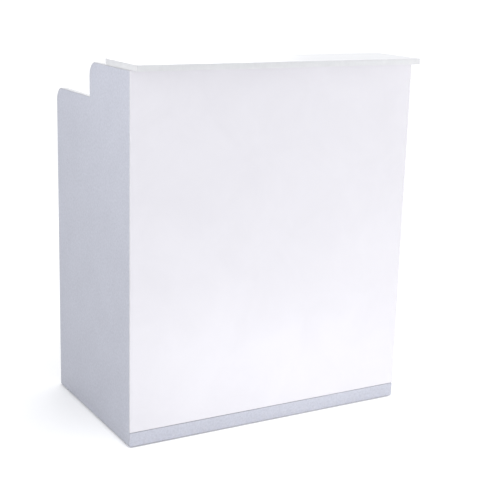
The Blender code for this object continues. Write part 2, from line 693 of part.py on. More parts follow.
# Drawer lock: its barrel runs from the staff side, +Y, to the cam behind the drawer front
LOCK_BODY_RADIUS = 0.0092
LOCK_BODY_BACK = DRAWER_FRONT_INNER - 0.0090
LOCK_FACE = DRAWER_Y + 0.0022
BEZEL_RADIUS = 0.0120
BEZEL_END_RADIUS = 0.0112
PLUG_RADIUS = 0.0057
PLUG_STEP = 0.0006
KEY_SLOT = (0.0014, 0.0060, 0.0072)
NUT_RADIUS = 0.0130
NUT_THICK = 0.0035
CAM_PLATE = 0.0022
CAM_REACH = 0.022
CAM_HUB = 0.008
CAM_HALF = 0.006
CAM_FRONT = LOCK_BODY_BACK - PLUG_STEP - GAP
STRIKE_GAP = 0.0020
STRIKE_PLATE = 0.0015
STRIKE_HALF = 0.016
STRIKE_DEPTH = 0.030
STRIKE_DROP = 0.0107


def on_lock(y):
    """A point on the lock's axis."""
    return Vector((BAY_MIDDLE, y, LOCK_Z))


def lock_rod(start, end, radius, sides=ROUND, end_radius=None):
    """Draws a rod along the lock's axis."""
    return lambda bm: add_rod(bm, on_lock(start), on_lock(end), radius, sides, end_radius)


def make_barrel(drawer_front):
    """The barrel with its bezel, the plug with its key slot, and the nut behind the drawer front."""
    axis = on_lock(DRAWER_Y)
    cut(drawer_front, "lock_bore", lock_rod(DRAWER_Y - 0.03, DRAWER_Y + 0.01, LOCK_BODY_RADIUS + GAP))
    body = piece("lock_body", lock_rod(LOCK_BODY_BACK, LOCK_FACE, LOCK_BODY_RADIUS), NICKEL, axis,
                 smooth=True)
    bezel = bmesh.new()
    lock_rod(DRAWER_Y + GAP, LOCK_FACE, BEZEL_RADIUS, end_radius=BEZEL_END_RADIUS)(bezel)
    bezel_shape = object_from(bezel, "lock_bezel_shape", CUTTERS)
    bezel_shape.hide_render = True
    bezel_shape.display_type = "WIRE"
    join = body.modifiers.new("bezel", "BOOLEAN")
    join.operation = "UNION"
    join.object = bezel_shape
    cut(body, "plug_bore", lock_rod(LOCK_BODY_BACK - 0.01, LOCK_FACE + 0.01, PLUG_RADIUS + GAP))

    plug = piece("lock_plug", lock_rod(LOCK_BODY_BACK - PLUG_STEP, LOCK_FACE + PLUG_STEP, PLUG_RADIUS),
                 NICKEL, axis, smooth=True)
    half_width, depth, half_height = KEY_SLOT[0] / 2, KEY_SLOT[1], KEY_SLOT[2] / 2
    cut(plug, "key_slot", lambda bm: add_box(
        bm, on_lock(LOCK_FACE - depth) - Vector((half_width, 0, half_height)),
        on_lock(LOCK_FACE + 0.01) + Vector((half_width, 0, half_height))))

    nut_face = DRAWER_FRONT_INNER - GAP
    nut = piece("lock_nut", lock_rod(nut_face - NUT_THICK, nut_face, NUT_RADIUS, 6), ZINC, axis)
    cut(nut, "nut_bore", lock_rod(DRAWER_FRONT_INNER - 0.02, DRAWER_Y, LOCK_BODY_RADIUS + GAP))
    return plug


def make_lock_cam(plug):
    """The cam on the plug's end: a hub that runs out to a narrower rounded tip."""
    hub_steps, tip_steps = 8, 5
    outline = []
    for i in range(hub_steps + 1):
        angle = math.pi / 2 - math.pi * i / hub_steps
        outline.append((BAY_MIDDLE + CAM_HUB * math.cos(angle), LOCK_Z + CAM_HUB * math.sin(angle)))
    for i in range(tip_steps + 1):
        angle = -math.pi / 2 - math.pi * i / tip_steps
        outline.append((BAY_MIDDLE - CAM_REACH + CAM_HALF + CAM_HALF * math.cos(angle),
                        LOCK_Z + CAM_HALF * math.sin(angle)))
    cam = piece("lock_cam", lambda bm: add_outline(bm, outline, "Y", CAM_FRONT - CAM_PLATE, CAM_FRONT),
                ZINC, on_lock(DRAWER_Y))
    tip, under_head = LOCK_BODY_BACK - PLUG_STEP + 0.006, CAM_FRONT - CAM_PLATE - GAP
    bore = lock_rod(under_head - 0.002, tip + BORE_SLACK, SCREW_RADIUS + GAP, SMALL_ROUND)
    cut(cam, "cam_bore", bore)
    cut(plug, "plug_screw_bore", bore)
    screw("lock_cam_screw", on_lock(under_head), on_lock(tip), head_radius=0.0035)


def make_strike():
    """The angle under the work surface that the turned cam catches behind."""
    y, top = CAM_FRONT + STRIKE_GAP, WORK_Z - GAP
    inner_y, inner_top = y + STRIKE_PLATE, top - STRIKE_PLATE
    points = [(y, top - STRIKE_DROP), (inner_y, top - STRIKE_DROP), (inner_y, top),
              (y - STRIKE_DEPTH, top), (y - STRIKE_DEPTH, inner_top), (y, inner_top)]
    strike = piece("lock_strike", lambda bm: add_outline(
        bm, points, "X", BAY_MIDDLE - STRIKE_HALF, BAY_MIDDLE + STRIKE_HALF), ZINC, (BAY_MIDDLE, y, top))
    screw_y, tip_z = y - 0.018, WORK_Z + 0.010
    spots = (BAY_MIDDLE - 0.010, BAY_MIDDLE + 0.010)

    def bores(bm):
        for x in spots:
            add_rod(bm, (x, screw_y, tip_z - 0.020), (x, screw_y, tip_z + BORE_SLACK), SCREW_RADIUS + GAP)

    cut(strike, "strike_bores", bores)
    cut(bpy.data.objects["work_surface"], "work_strike_bores", bores)
    for (hand, _), x in zip(SIDES, spots):
        screw(f"lock_strike_screw_{hand}", (x, screw_y, inner_top - GAP), (x, screw_y, tip_z),
              head_radius=0.0032)


def main():
    boards = make_carcass()
    make_front(boards["front_board"], boards["toe_board"])
    make_ledge()
    make_inner_boards(boards["mid_shelf"], boards["work_surface"])
    make_glides()
    make_grommet(boards["work_surface"])
    make_slides()
    drawer_front = make_drawer_box()
    make_pull(drawer_front)
    make_lock_cam(make_barrel(drawer_front))
    make_strike()


main()
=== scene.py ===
# %% [markdown]
# # A checkout counter, dressed piece by piece
# A imported CAD model gives the counter's boards, its till drawer, slides and lock, each in its true place.
# This lesson gives it a camera, soft light, finishes made of shader nodes, and the small pieces that CAD
# leaves plain. A board keeps its CAD mesh, because a board is its own best model. What is round or pressed,
# such as an edge band, a pull or a screw, is modelled again with finer curves.
# The frame is loaded first.

# %% Load the imported frame
import math

import bmesh
import bpy
from mathutils import Matrix, Vector


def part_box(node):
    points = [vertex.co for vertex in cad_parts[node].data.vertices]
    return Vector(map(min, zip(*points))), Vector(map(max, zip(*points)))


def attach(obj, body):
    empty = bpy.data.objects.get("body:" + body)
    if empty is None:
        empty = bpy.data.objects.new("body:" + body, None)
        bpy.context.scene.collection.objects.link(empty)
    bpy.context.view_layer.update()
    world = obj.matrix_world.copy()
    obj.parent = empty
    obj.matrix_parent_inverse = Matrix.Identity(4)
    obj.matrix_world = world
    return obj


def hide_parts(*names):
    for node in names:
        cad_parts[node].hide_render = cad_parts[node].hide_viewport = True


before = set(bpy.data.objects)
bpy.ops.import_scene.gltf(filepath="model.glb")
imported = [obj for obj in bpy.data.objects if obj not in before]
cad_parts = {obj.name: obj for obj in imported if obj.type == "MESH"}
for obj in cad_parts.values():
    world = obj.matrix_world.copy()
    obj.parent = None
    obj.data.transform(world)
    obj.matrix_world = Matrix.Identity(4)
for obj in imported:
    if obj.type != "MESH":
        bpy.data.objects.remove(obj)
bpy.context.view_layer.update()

CABINET, DRAWER = "cabinet", "till_drawer"
SIDES = (("left", -1), ("right", 1))
GAP = 0.0003
BOARD = 0.016

# %% [markdown]
# ## Where we look from
# A product picture like this is taken from a little above the counter top and well to one side, so that
# the front and one end both show, with a long lens that keeps upright edges nearly parallel. The camera is
# given by where it stands, how far it is turned and tilted, and a slight lean, as a tripod's head reads.

# %% Camera
CAMERA_PLACE = Vector((-1.629, -2.919, 1.327))
CAMERA_TURN, CAMERA_TILT, CAMERA_LEAN = math.radians(29.58), math.radians(13.915), math.radians(1.48)
LENS_MM, SENSOR_MM = 84.0, 36


def make_camera():
    data = bpy.data.cameras.new("camera")
    data.lens = LENS_MM
    data.sensor_width = SENSOR_MM
    camera = bpy.data.objects.new("camera", data)
    aim = (Matrix.Rotation(-CAMERA_TURN, 4, "Z") @ Matrix.Rotation(math.pi / 2 - CAMERA_TILT, 4, "X")
           @ Matrix.Rotation(CAMERA_LEAN, 4, "Z"))
    camera.matrix_world = Matrix.Translation(CAMERA_PLACE) @ aim
    bpy.context.scene.collection.objects.link(camera)
    bpy.context.scene.camera = camera


make_camera()

# %% [markdown]
# ## Writing shader nodes tidily
# A finish is a small graph of nodes, and so is the studio's glowing floor. A few helpers keep each graph
# readable: `fill` gives sockets, by name or number, a plain value or a link, `add_node` makes a node and
# fills it, and `new_group` starts a group with named sockets, which several finishes then share. All
# patterns read Object coordinates, which here are metres in the counter's frame.

# %% Node helpers
def fill(tree, node, inputs):
    for key, value in inputs.items():
        if isinstance(value, bpy.types.NodeSocket):
            tree.links.new(value, node.inputs[key])
        else:
            node.inputs[key].default_value = value


def add_node(tree, kind, inputs=None, **settings):
    node = tree.nodes.new(kind)
    for key, value in settings.items():
        setattr(node, key, value)
    fill(tree, node, inputs or {})
    return node


def calculate(tree, operation, *values, clamp=False):
    return add_node(tree, "ShaderNodeMath", dict(enumerate(values)), operation=operation,
                    use_clamp=clamp).outputs[0]


def blend_colours(tree, factor, first, second):
    """Mixes two colours. The node's colour sockets go by number, as its other kinds share their names."""
    return add_node(tree, "ShaderNodeMix", {0: factor, 6: first, 7: second}, data_type="RGBA").outputs[2]


def spread(tree, value, low, high, new_low, new_high):
    node = add_node(tree, "ShaderNodeMapRange", {
        "Value": value, "From Min": low, "From Max": high, "To Min": new_low, "To Max": new_high})
    return node.outputs["Result"]


def new_group(name, inputs, outputs):
    group = bpy.data.node_groups.new(name, "ShaderNodeTree")
    for label, kind, value in inputs:
        socket = group.interface.new_socket(label, in_out="INPUT", socket_type=kind)
        if value is not None:
            socket.default_value = value
    for label, kind in outputs:
        group.interface.new_socket(label, in_out="OUTPUT", socket_type=kind)
    return group, add_node(group, "NodeGroupInput"), add_node(group, "NodeGroupOutput")


FLOAT, VECTOR, COLOUR = "NodeSocketFloat", "NodeSocketVector", "NodeSocketColor"
print("node helpers ready")

# %% [markdown]
# ## A white studio
# White goods stand in a tent of white cloth on a white sweep. The sweep glows, so that light comes from all
# round and from below. A pool of light is painted into the glow in front of the counter, with no lamp to cast
# it, and it lifts the front's lower half. Painted shade darkens the glow where the counter stands over the
# sweep:
# the glow is multiplied by how open the floor is, and the base gets a painted thin dark line of contact
# shadow.
# The tent itself does most of the shaping. Its right half is twice as bright as its left half, so that the
# end panel falls a shade below the front. A near lamp at the left fades down that panel and towards its rear,
# a slightly warm one at the right lifts the front, and a weak one behind is for the staff side. None is high
# and in front, because the ledge would shade the panel. The camera doesn't see the lamps.
# The Standard view keeps white at white, where a filmic view would turn it grey.

# %% Floor, world and lamps
TENT_COLOUR = (0.965, 0.975, 1.0, 1)
TENT_LEFT, TENT_RIGHT = 0.627, 1.267
TENT_SEAM = 0.35
FLOOR_COLOUR, FLOOR_ROUGHNESS, FLOOR_SHINE = (0.93, 0.93, 0.93, 1), 0.9, 0.1
FLOOR_GLOW = 0.20
# The painted pool of light in the floor's glow: its strength, centre and reach.
PAINTED_POOL_GLOW = 0.75
PAINTED_POOL_PLACE = (0.1, -0.85, 0.0)
PAINTED_POOL_REACH = 1.2
FLOOR_SIZE = 60
# Reach of the painted contact shadow in the floor's glow.
PAINTED_SHADE_REACH = 0.016
PURE_WHITE, WARM_WHITE = (1, 1, 1), (1.0, 0.985, 0.95)
# Each lamp's name, place, target, diameter, power in watts and colour
LAMPS = (
    ("left_lamp", (-1.3, -0.36, 1.45), (-0.45, -0.15, 0.8), 0.8, 4.8, PURE_WHITE),
    ("right_lamp", (2.6, -1.6, 1.0), (0.3, -0.25, 0.6), 1.4, 19.7, WARM_WHITE),
    ("staff_side_lamp", (1.0, 2.6, 1.8), (0.2, 0.2, 0.6), 1.4, 6, PURE_WHITE),
)


def floor_glow(tree):
    place = add_node(tree, "ShaderNodeTexCoord").outputs["Object"]
    # Painted pool of light, strongest at its centre and fading out over its reach.
    away = add_node(tree, "ShaderNodeVectorMath", {0: place, 1: PAINTED_POOL_PLACE}, operation="DISTANCE")
    painted_pool = add_node(tree, "ShaderNodeMapRange", {
        "Value": away.outputs["Value"], "From Max": PAINTED_POOL_REACH, "To Min": PAINTED_POOL_GLOW, "To Max": 0.0},
        interpolation_type="SMOOTHSTEP")
    glow = calculate(tree, "ADD", painted_pool.outputs["Result"], FLOOR_GLOW)
    # Painted shade: ambient occlusion darkens the glow under and beside the counter.
    glow_with_painted_shade = add_node(tree, "ShaderNodeAmbientOcclusion", {"Color": glow, "Distance": PAINTED_SHADE_REACH},
                          samples=8)
    return glow_with_painted_shade.outputs["Color"]


def make_floor():
    bm = bmesh.new()
    bmesh.ops.create_grid(bm, x_segments=1, y_segments=1, size=FLOOR_SIZE)
    mesh = bpy.data.meshes.new("studio_floor")
    bm.to_mesh(mesh)
    bm.free()
    floor = bpy.data.objects.new("studio_floor", mesh)
    bpy.context.scene.collection.objects.link(floor)
    white = bpy.data.materials.new("studio_white")
    white.use_nodes = True
    tree = white.node_tree
    fill(tree, tree.nodes["Principled BSDF"], {
        "Base Color": FLOOR_COLOUR, "Roughness": FLOOR_ROUGHNESS, "Specular IOR Level": FLOOR_SHINE,
        "Emission Strength": 1.0, "Emission Color": floor_glow(tree)})
    mesh.materials.append(white)


def make_lamp(name, place, target, size, power, colour):
    data = bpy.data.lights.new(name, "AREA")
    data.shape = "DISK"
    data.size = size
    data.energy = power
    data.color = colour
    lamp = bpy.data.objects.new(name, data)
    lamp.location = place
    lamp.rotation_mode = "QUATERNION"
    lamp.rotation_quaternion = (Vector(target) - Vector(place)).to_track_quat("-Z", "Y")
    lamp.visible_camera = False
    bpy.context.scene.collection.objects.link(lamp)


def make_world():
    world = bpy.data.worlds.new("white_tent")
    world.use_nodes = True
    tree = world.node_tree
    way = add_node(tree, "ShaderNodeTexCoord").outputs["Generated"]
    towards = add_node(tree, "ShaderNodeSeparateXYZ", {"Vector": way})
    tent = add_node(tree, "ShaderNodeMapRange", {
        "Value": towards.outputs["X"], "From Min": -TENT_SEAM, "From Max": TENT_SEAM,
        "To Min": TENT_LEFT, "To Max": TENT_RIGHT}, interpolation_type="SMOOTHSTEP")
    fill(tree, tree.nodes["Background"], {"Color": TENT_COLOUR, "Strength": tent.outputs["Result"]})
    bpy.context.scene.world = world
    bpy.context.scene.view_settings.view_transform = "Standard"


make_floor()
make_world()
for lamp in LAMPS:
    make_lamp(*lamp)
print("lamps", len(bpy.data.lights))

# %% [markdown]
# ## Patterns that several finishes share
# ### Pebbled skin
# Melamine board is pressed against a steel plate whose fine pebbles stop it showing scratches. The pebbles
# are rounded bumps about a millimetre apart, so the group mixes cell noise, which gives the bumps, with
# plain noise, which makes them uneven. A second output is a slow drift in tone, a hand's breadth wide,
# with a speckle of a few millimetres in it, because no pressed sheet is one even white.

# %% Group: pebbled skin
def make_pebbled_skin():
    group, given, out = new_group(
        "pebbled_skin",
        [("Place", VECTOR, None), ("Grain", FLOAT, 700.0)],
        [("Height", FLOAT), ("Tone", FLOAT)])
    place, grain = given.outputs["Place"], given.outputs["Grain"]
    cells = add_node(group, "ShaderNodeTexVoronoi", {"Vector": place, "Scale": grain, "Smoothness": 0.8},
                     feature="SMOOTH_F1")
    uneven = add_node(group, "ShaderNodeTexNoise", {
        "Vector": place, "Scale": calculate(group, "MULTIPLY", grain, 0.6), "Detail": 3.0, "Roughness": 0.6})
    bumps = calculate(group, "SUBTRACT", 1.0, cells.outputs["Distance"])
    height = calculate(group, "ADD", calculate(group, "MULTIPLY", bumps, 0.7),
                       calculate(group, "MULTIPLY", uneven.outputs["Fac"], 0.5))
    drift = add_node(group, "ShaderNodeTexNoise", {"Vector": place, "Scale": 9.0, "Detail": 2.0})
    speckle = add_node(group, "ShaderNodeTexNoise", {
        "Vector": place, "Scale": 150.0, "Detail": 4.0, "Roughness": 0.7})
    tone = calculate(group, "ADD", calculate(group, "MULTIPLY", drift.outputs["Fac"], 0.15),
                     calculate(group, "MULTIPLY", speckle.outputs["Fac"], 0.85))
    group.links.new(height, out.inputs["Height"])
    group.links.new(tone, out.inputs["Tone"])
    return group


PEBBLED_SKIN = make_pebbled_skin()
print(PEBBLED_SKIN.name, [s.name for s in PEBBLED_SKIN.interface.items_tree])

# %% [markdown]
# ### Handled edges
# Hands, bags and mops dull a board along its edges first. On a box-shaped board that place can be worked
# out. A point of its surface lies on one face, so of its distances to the three pairs of faces the smallest
# is nought, and the second smallest says how far off the closest edge is. The mask fades over a stated
# reach, broken by noise.

# %% Group: handled edges
def make_handled_edges():
    group, given, out = new_group(
        "handled_edges",
        [("Place", VECTOR, None), ("Low", VECTOR, None), ("High", VECTOR, None), ("Reach", FLOAT, 0.004)],
        [("Mask", FLOAT)])
    place = given.outputs["Place"]
    from_low = add_node(group, "ShaderNodeVectorMath", {0: place, 1: given.outputs["Low"]},
                        operation="SUBTRACT")
    from_high = add_node(group, "ShaderNodeVectorMath", {0: given.outputs["High"], 1: place},
                         operation="SUBTRACT")
    nearest = add_node(group, "ShaderNodeVectorMath", {0: from_low.outputs[0], 1: from_high.outputs[0]},
                       operation="MINIMUM")
    split = add_node(group, "ShaderNodeSeparateXYZ", {"Vector": nearest.outputs[0]})
    x, y, z = split.outputs
    smaller = calculate(group, "MINIMUM", x, y)
    larger = calculate(group, "MAXIMUM", x, y)
    edge = calculate(group, "MAXIMUM", smaller, calculate(group, "MINIMUM", larger, z))
    share = calculate(group, "DIVIDE", edge, given.outputs["Reach"])
    fade = calculate(group, "SUBTRACT", 1.0, share, clamp=True)
    breaks = add_node(group, "ShaderNodeTexNoise", {"Vector": place, "Scale": 60.0, "Detail": 5.0,
                                                    "Roughness": 0.65})
    broken = spread(group, breaks.outputs["Fac"], 0.38, 0.66, 0.0, 1.0)
    mask = calculate(group, "MULTIPLY", calculate(group, "POWER", fade, 1.6), broken, clamp=True)
    group.links.new(mask, out.inputs["Mask"])
    return group


HANDLED_EDGES = make_handled_edges()
print(HANDLED_EDGES.name, "ready")

# %% [markdown]
# ### Brushed and drawn metal
# Drawn wire, rolled strip and brushed plate all carry lines along the way that they were worked. Noise that
# is squeezed along one axis gives such lines. The group takes the squeeze as a vector, so that one group
# serves a slide that runs along Y and a pull that runs along X.

# %% Group: drawn lines
def make_drawn_lines():
    group, given, out = new_group(
        "drawn_lines",
        [("Place", VECTOR, None), ("Squeeze", VECTOR, (1.0, 1.0, 1.0))],
        [("Height", FLOAT), ("Tone", FLOAT)])
    squeezed = add_node(group, "ShaderNodeVectorMath",
                        {0: given.outputs["Place"], 1: given.outputs["Squeeze"]}, operation="MULTIPLY")
    lines = add_node(group, "ShaderNodeTexNoise", {
        "Vector": squeezed.outputs[0], "Scale": 1.0, "Detail": 6.0, "Roughness": 0.7})
    bloom = add_node(group, "ShaderNodeTexNoise", {
        "Vector": given.outputs["Place"], "Scale": 45.0, "Detail": 4.0, "Roughness": 0.6})
    tone = calculate(group, "ADD", calculate(group, "MULTIPLY", lines.outputs["Fac"], 0.5),
                     calculate(group, "MULTIPLY", bloom.outputs["Fac"], 0.5))
    group.links.new(lines.outputs["Fac"], out.inputs["Height"])
    group.links.new(tone, out.inputs["Tone"])
    return group


DRAWN_LINES = make_drawn_lines()
print(DRAWN_LINES.name, "ready")

# %% [markdown]
# ### Floor marks
# The lowest hand's breadth of a counter meets shoes and mops: a faint grey film that thins out upwards.
# It belongs on every finish that comes near the floor, so it is a group as well.

# %% Group: floor marks
def make_floor_marks():
    group, given, out = new_group("floor_marks", [("Place", VECTOR, None), ("Top", FLOAT, 0.09)],
                                  [("Mask", FLOAT)])
    split = add_node(group, "ShaderNodeSeparateXYZ", {"Vector": given.outputs["Place"]})
    rise = calculate(group, "SUBTRACT", 1.0,
                     calculate(group, "DIVIDE", split.outputs["Z"], given.outputs["Top"]), clamp=True)
    smears = add_node(group, "ShaderNodeVectorMath", {0: given.outputs["Place"], 1: (14.0, 14.0, 70.0)},
                      operation="MULTIPLY")
    streaks = add_node(group, "ShaderNodeTexNoise", {"Vector": smears.outputs[0], "Scale": 1.0,
                                                     "Detail": 6.0, "Roughness": 0.7})
    mask = calculate(group, "MULTIPLY", rise, spread(group, streaks.outputs["Fac"], 0.4, 0.75, 0.0, 1.0),
                     clamp=True)
    group.links.new(mask, out.inputs["Mask"])
    return group


FLOOR_MARKS = make_floor_marks()
print(FLOOR_MARKS.name, "ready")

# %% [markdown]
# ## Finishes
# Each finish below is one material, and its Principled shader stays in the material. It starts with a
# shader and the Object coordinates, swings between two tones, may take a tint over a mask, and ends by
# linking its colour, roughness and bumps.

# %% Material helpers
def start_finish(name, roughness, metallic=0.0, coat=0.0, coat_roughness=0.1):
    made = bpy.data.materials.new(name)
    made.use_nodes = True
    tree = made.node_tree
    shader = tree.nodes["Principled BSDF"]
    fill(tree, shader, {"Roughness": roughness, "Metallic": metallic, "Coat Weight": coat,
                        "Coat Roughness": coat_roughness})
    place = add_node(tree, "ShaderNodeTexCoord").outputs["Object"]
    return made, tree, shader, place


def use_group(tree, group, **inputs):
    return add_node(tree, "ShaderNodeGroup", inputs, node_tree=group).outputs


def swing(tree, noise, dark, light, low=0.35, high=0.65):
    """Goes from dark to light while the noise crosses the middle of its range."""
    return blend_colours(tree, spread(tree, noise, low, high, 0.0, 1.0), dark, light)


def overlay(tree, colour, mask, amount, tint):
    """Lays a tint over the colour where the mask is, at most as strongly as the amount."""
    return blend_colours(tree, calculate(tree, "MULTIPLY", mask, amount), colour, tint)


def end_finish(tree, shader, colour, roughness, height, depth):
    bump = add_node(tree, "ShaderNodeBump", {"Height": height, "Distance": depth, "Strength": 1.0})
    fill(tree, shader, {"Base Color": colour, "Roughness": roughness, "Normal": bump.outputs["Normal"]})


def grey(level, blue=0.0):
    return (level, level, level + blue, 1)


print("material helpers ready")

# %% [markdown]
# ### Pebbled melamine
# The side panels, kick strip and inner boards are one white board. Its colour is painted a shade darker and
# bluer than the front's laminate, partly for the shade that falls on the end panel. It swings between two
# close tones, the pebbles roughen it, and the pebble tops are a touch glossier than the valleys.

# %% Finish: pebbled melamine
# Both tones are partly a painted shade: darker and bluer than the white board, standing for the end panel's
# shade.
MELAMINE_DARK, MELAMINE_LIGHT = (0.436, 0.447, 0.511, 1), (0.521, 0.534, 0.603, 1)
FLOOR_FILM, WORN_MELAMINE = (0.27, 0.265, 0.27, 1), grey(0.62, 0.02)


def melamine(name, low=None, high=None):
    made, tree, shader, place = start_finish(name, 0.5)
    skin = use_group(tree, PEBBLED_SKIN, Place=place, Grain=700.0)
    colour = swing(tree, skin["Tone"], MELAMINE_DARK, MELAMINE_LIGHT, 0.36, 0.64)
    marks = use_group(tree, FLOOR_MARKS, Place=place)["Mask"]
    colour = overlay(tree, colour, marks, 0.16, FLOOR_FILM)
    if low is not None:
        worn = use_group(tree, HANDLED_EDGES, Place=place, Low=low, High=high, Reach=0.006)["Mask"]
        colour = overlay(tree, colour, worn, 0.25, WORN_MELAMINE)
    roughness = spread(tree, skin["Height"], 0.2, 0.9, 0.60, 0.42)
    end_finish(tree, shader, colour, roughness, skin["Height"], 0.00006)
    return made


print("melamine tones", MELAMINE_DARK[:3], MELAMINE_LIGHT[:3])

# %% [markdown]
# ### Gloss laminate
# The customer side is faced with a smooth white laminate. Even a good one is not a mirror: its surface
# waves very slightly, which shops call orange peel, and wiping leaves broad soft smears in the gloss.

# %% Finish: gloss front and ledge laminates
COAT_ROUGHNESS = 0.14
WORN_LAMINATE = grey(0.5)


def laminate(name, dark, light, roughness, node, coat=0.0, peel=0.00002):
    low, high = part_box(node)
    made, tree, shader, place = start_finish(name, roughness, coat=coat, coat_roughness=COAT_ROUGHNESS)
    peel_waves = add_node(tree, "ShaderNodeTexNoise", {"Vector": place, "Scale": 260.0, "Detail": 2.0})
    smears = add_node(tree, "ShaderNodeTexNoise", {"Vector": place, "Scale": 6.5, "Detail": 6.0,
                                                   "Roughness": 0.62, "Distortion": 0.6})
    colour = swing(tree, smears.outputs["Fac"], dark, light)
    worn = use_group(tree, HANDLED_EDGES, Place=place, Low=low, High=high, Reach=0.0035)["Mask"]
    colour = overlay(tree, colour, worn, 0.3, WORN_LAMINATE)
    marks = use_group(tree, FLOOR_MARKS, Place=place, Top=0.16)["Mask"]
    colour = overlay(tree, colour, marks, 0.05, WORN_LAMINATE)
    wiped = spread(tree, smears.outputs["Fac"], 0.3, 0.7, roughness - 0.05, roughness + 0.04)
    rough = calculate(tree, "ADD", wiped, calculate(tree, "MULTIPLY", worn, 0.15))
    end_finish(tree, shader, colour, rough, peel_waves.outputs["Fac"], peel)
    return made


GLOSS_FRONT = laminate("gloss_white_front", (0.664, 0.651, 0.688, 1), (0.684, 0.671, 0.708, 1), 0.22,
                       "front_panel", coat=0.5)
LEDGE_TOP = laminate("white_ledge_top", grey(0.790, 0.007), grey(0.815, 0.007), 0.34, "customer_ledge",
                     peel=0.00003)
print(GLOSS_FRONT.name, LEDGE_TOP.name)

# %% [markdown]
# ### Edge band
# The band is a strip of solid plastic, glued on hot and scraped flush. It is lighter than the board and
# less blue, with faint scraper lines along it.

# %% Finish: edge band
def edge_band():
    made, tree, shader, place = start_finish("white_edge_strip", 0.42)
    lines = use_group(tree, DRAWN_LINES, Place=place, Squeeze=(900.0, 40.0, 40.0))
    colour = swing(tree, lines["Tone"], (0.582, 0.586, 0.599, 1), (0.636, 0.639, 0.650, 1))
    marks = use_group(tree, FLOOR_MARKS, Place=place)["Mask"]
    colour = overlay(tree, colour, marks, 0.2, grey(0.4))
    end_finish(tree, shader, colour, spread(tree, lines["Tone"], 0.3, 0.7, 0.36, 0.50), lines["Height"],
               0.00002)
    return made


EDGE_BAND = edge_band()
print(EDGE_BAND.name)

# %% [markdown]
# ### Work surface
# Staff work on a matt grey laminate with a fine fleck, which hides pen marks. The fleck is cell noise with
# a steep step, so each fleck has a crisp border. Wear lightens the surface along its edges.

# %% Finish: work surface
def work_laminate():
    low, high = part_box("work_surface")
    made, tree, shader, place = start_finish("work_surface_laminate", 0.45)
    skin = use_group(tree, PEBBLED_SKIN, Place=place, Grain=950.0)
    flecks = add_node(tree, "ShaderNodeTexVoronoi", {"Vector": place, "Scale": 420.0, "Randomness": 1.0})
    fleck = spread(tree, flecks.outputs["Distance"], 0.16, 0.22, 1.0, 0.0)
    colour = swing(tree, skin["Tone"], (0.47, 0.48, 0.50, 1), (0.53, 0.54, 0.56, 1))
    colour = overlay(tree, colour, fleck, 0.45, (0.30, 0.31, 0.33, 1))
    worn = use_group(tree, HANDLED_EDGES, Place=place, Low=low, High=high, Reach=0.012)["Mask"]
    colour = overlay(tree, colour, worn, 0.3, grey(0.62))
    end_finish(tree, shader, colour, spread(tree, skin["Tone"], 0.35, 0.65, 0.50, 0.38), skin["Height"],
               0.00003)
    return made


WORK_TOP = work_laminate()
print(WORK_TOP.name)

# %% [markdown]
# ### Drawer board, hardboard and beech
# The drawer box is foil-faced board with a faint printed grain, its bottom is painted hardboard with the
# mesh print of the press, and the cleat and dowels are plain beech. Wood grain is noise squeezed along the
# wood, with rays, the short dark flecks that mark beech, from a second, tighter noise.

# %% Finish: drawer board, hardboard, beech
def drawer_board():
    made, tree, shader, place = start_finish("foiled_drawer_board", 0.46)
    lines = use_group(tree, DRAWN_LINES, Place=place, Squeeze=(6.0, 6.0, 240.0))
    skin = use_group(tree, PEBBLED_SKIN, Place=place, Grain=1200.0)
    colour = swing(tree, lines["Tone"], (0.63, 0.635, 0.66, 1), (0.69, 0.69, 0.715, 1))
    end_finish(tree, shader, colour, spread(tree, skin["Tone"], 0.3, 0.7, 0.40, 0.54), skin["Height"],
               0.00002)
    return made


def hardboard():
    made, tree, shader, place = start_finish("painted_hardboard", 0.6)
    waves = [add_node(tree, "ShaderNodeTexWave", {"Vector": place, "Scale": 300.0, "Distortion": 0.6},
                      wave_type="BANDS", bands_direction=axis).outputs["Fac"] for axis in "XY"]
    mesh_print = calculate(tree, "MULTIPLY", *waves)
    skin = use_group(tree, PEBBLED_SKIN, Place=place, Grain=500.0)
    colour = blend_colours(tree, skin["Tone"], (0.56, 0.55, 0.52, 1), (0.68, 0.67, 0.64, 1))
    end_finish(tree, shader, colour, spread(tree, mesh_print, 0.0, 1.0, 0.52, 0.68), mesh_print, 0.00004)
    return made


def beech():
    made, tree, shader, place = start_finish("plain_beech", 0.55)
    grain = use_group(tree, DRAWN_LINES, Place=place, Squeeze=(9.0, 190.0, 190.0))
    rays = use_group(tree, DRAWN_LINES, Place=place, Squeeze=(150.0, 900.0, 900.0))
    colour = swing(tree, grain["Height"], (0.46, 0.29, 0.16, 1), (0.64, 0.45, 0.28, 1))
    dark = spread(tree, rays["Height"], 0.56, 0.66, 0.0, 1.0)
    colour = overlay(tree, colour, dark, 0.5, (0.33, 0.19, 0.10, 1))
    end_finish(tree, shader, colour, spread(tree, grain["Tone"], 0.3, 0.7, 0.48, 0.66), grain["Height"],
               0.00008)
    return made


DRAWER_BOARD, HARDBOARD, BEECH = drawer_board(), hardboard(), beech()
print(DRAWER_BOARD.name, HARDBOARD.name, BEECH.name)

# %% [markdown]
# ### Metals and plastics
# Zinc plate is bright with a cloudy bloom, satin nickel is warmer and more even, and both carry drawn
# lines. Moulded plastic takes the fine spark-eroded texture of its mould.

# %% Finish: metals and plastics
def metal(name, dark, light, low_rough, high_rough, squeeze):
    made, tree, shader, place = start_finish(name, low_rough, metallic=1.0)
    lines = use_group(tree, DRAWN_LINES, Place=place, Squeeze=squeeze)
    roughness = spread(tree, lines["Tone"], 0.3, 0.7, high_rough, low_rough)
    end_finish(tree, shader, swing(tree, lines["Tone"], dark, light), roughness, lines["Height"], 0.00001)
    return made


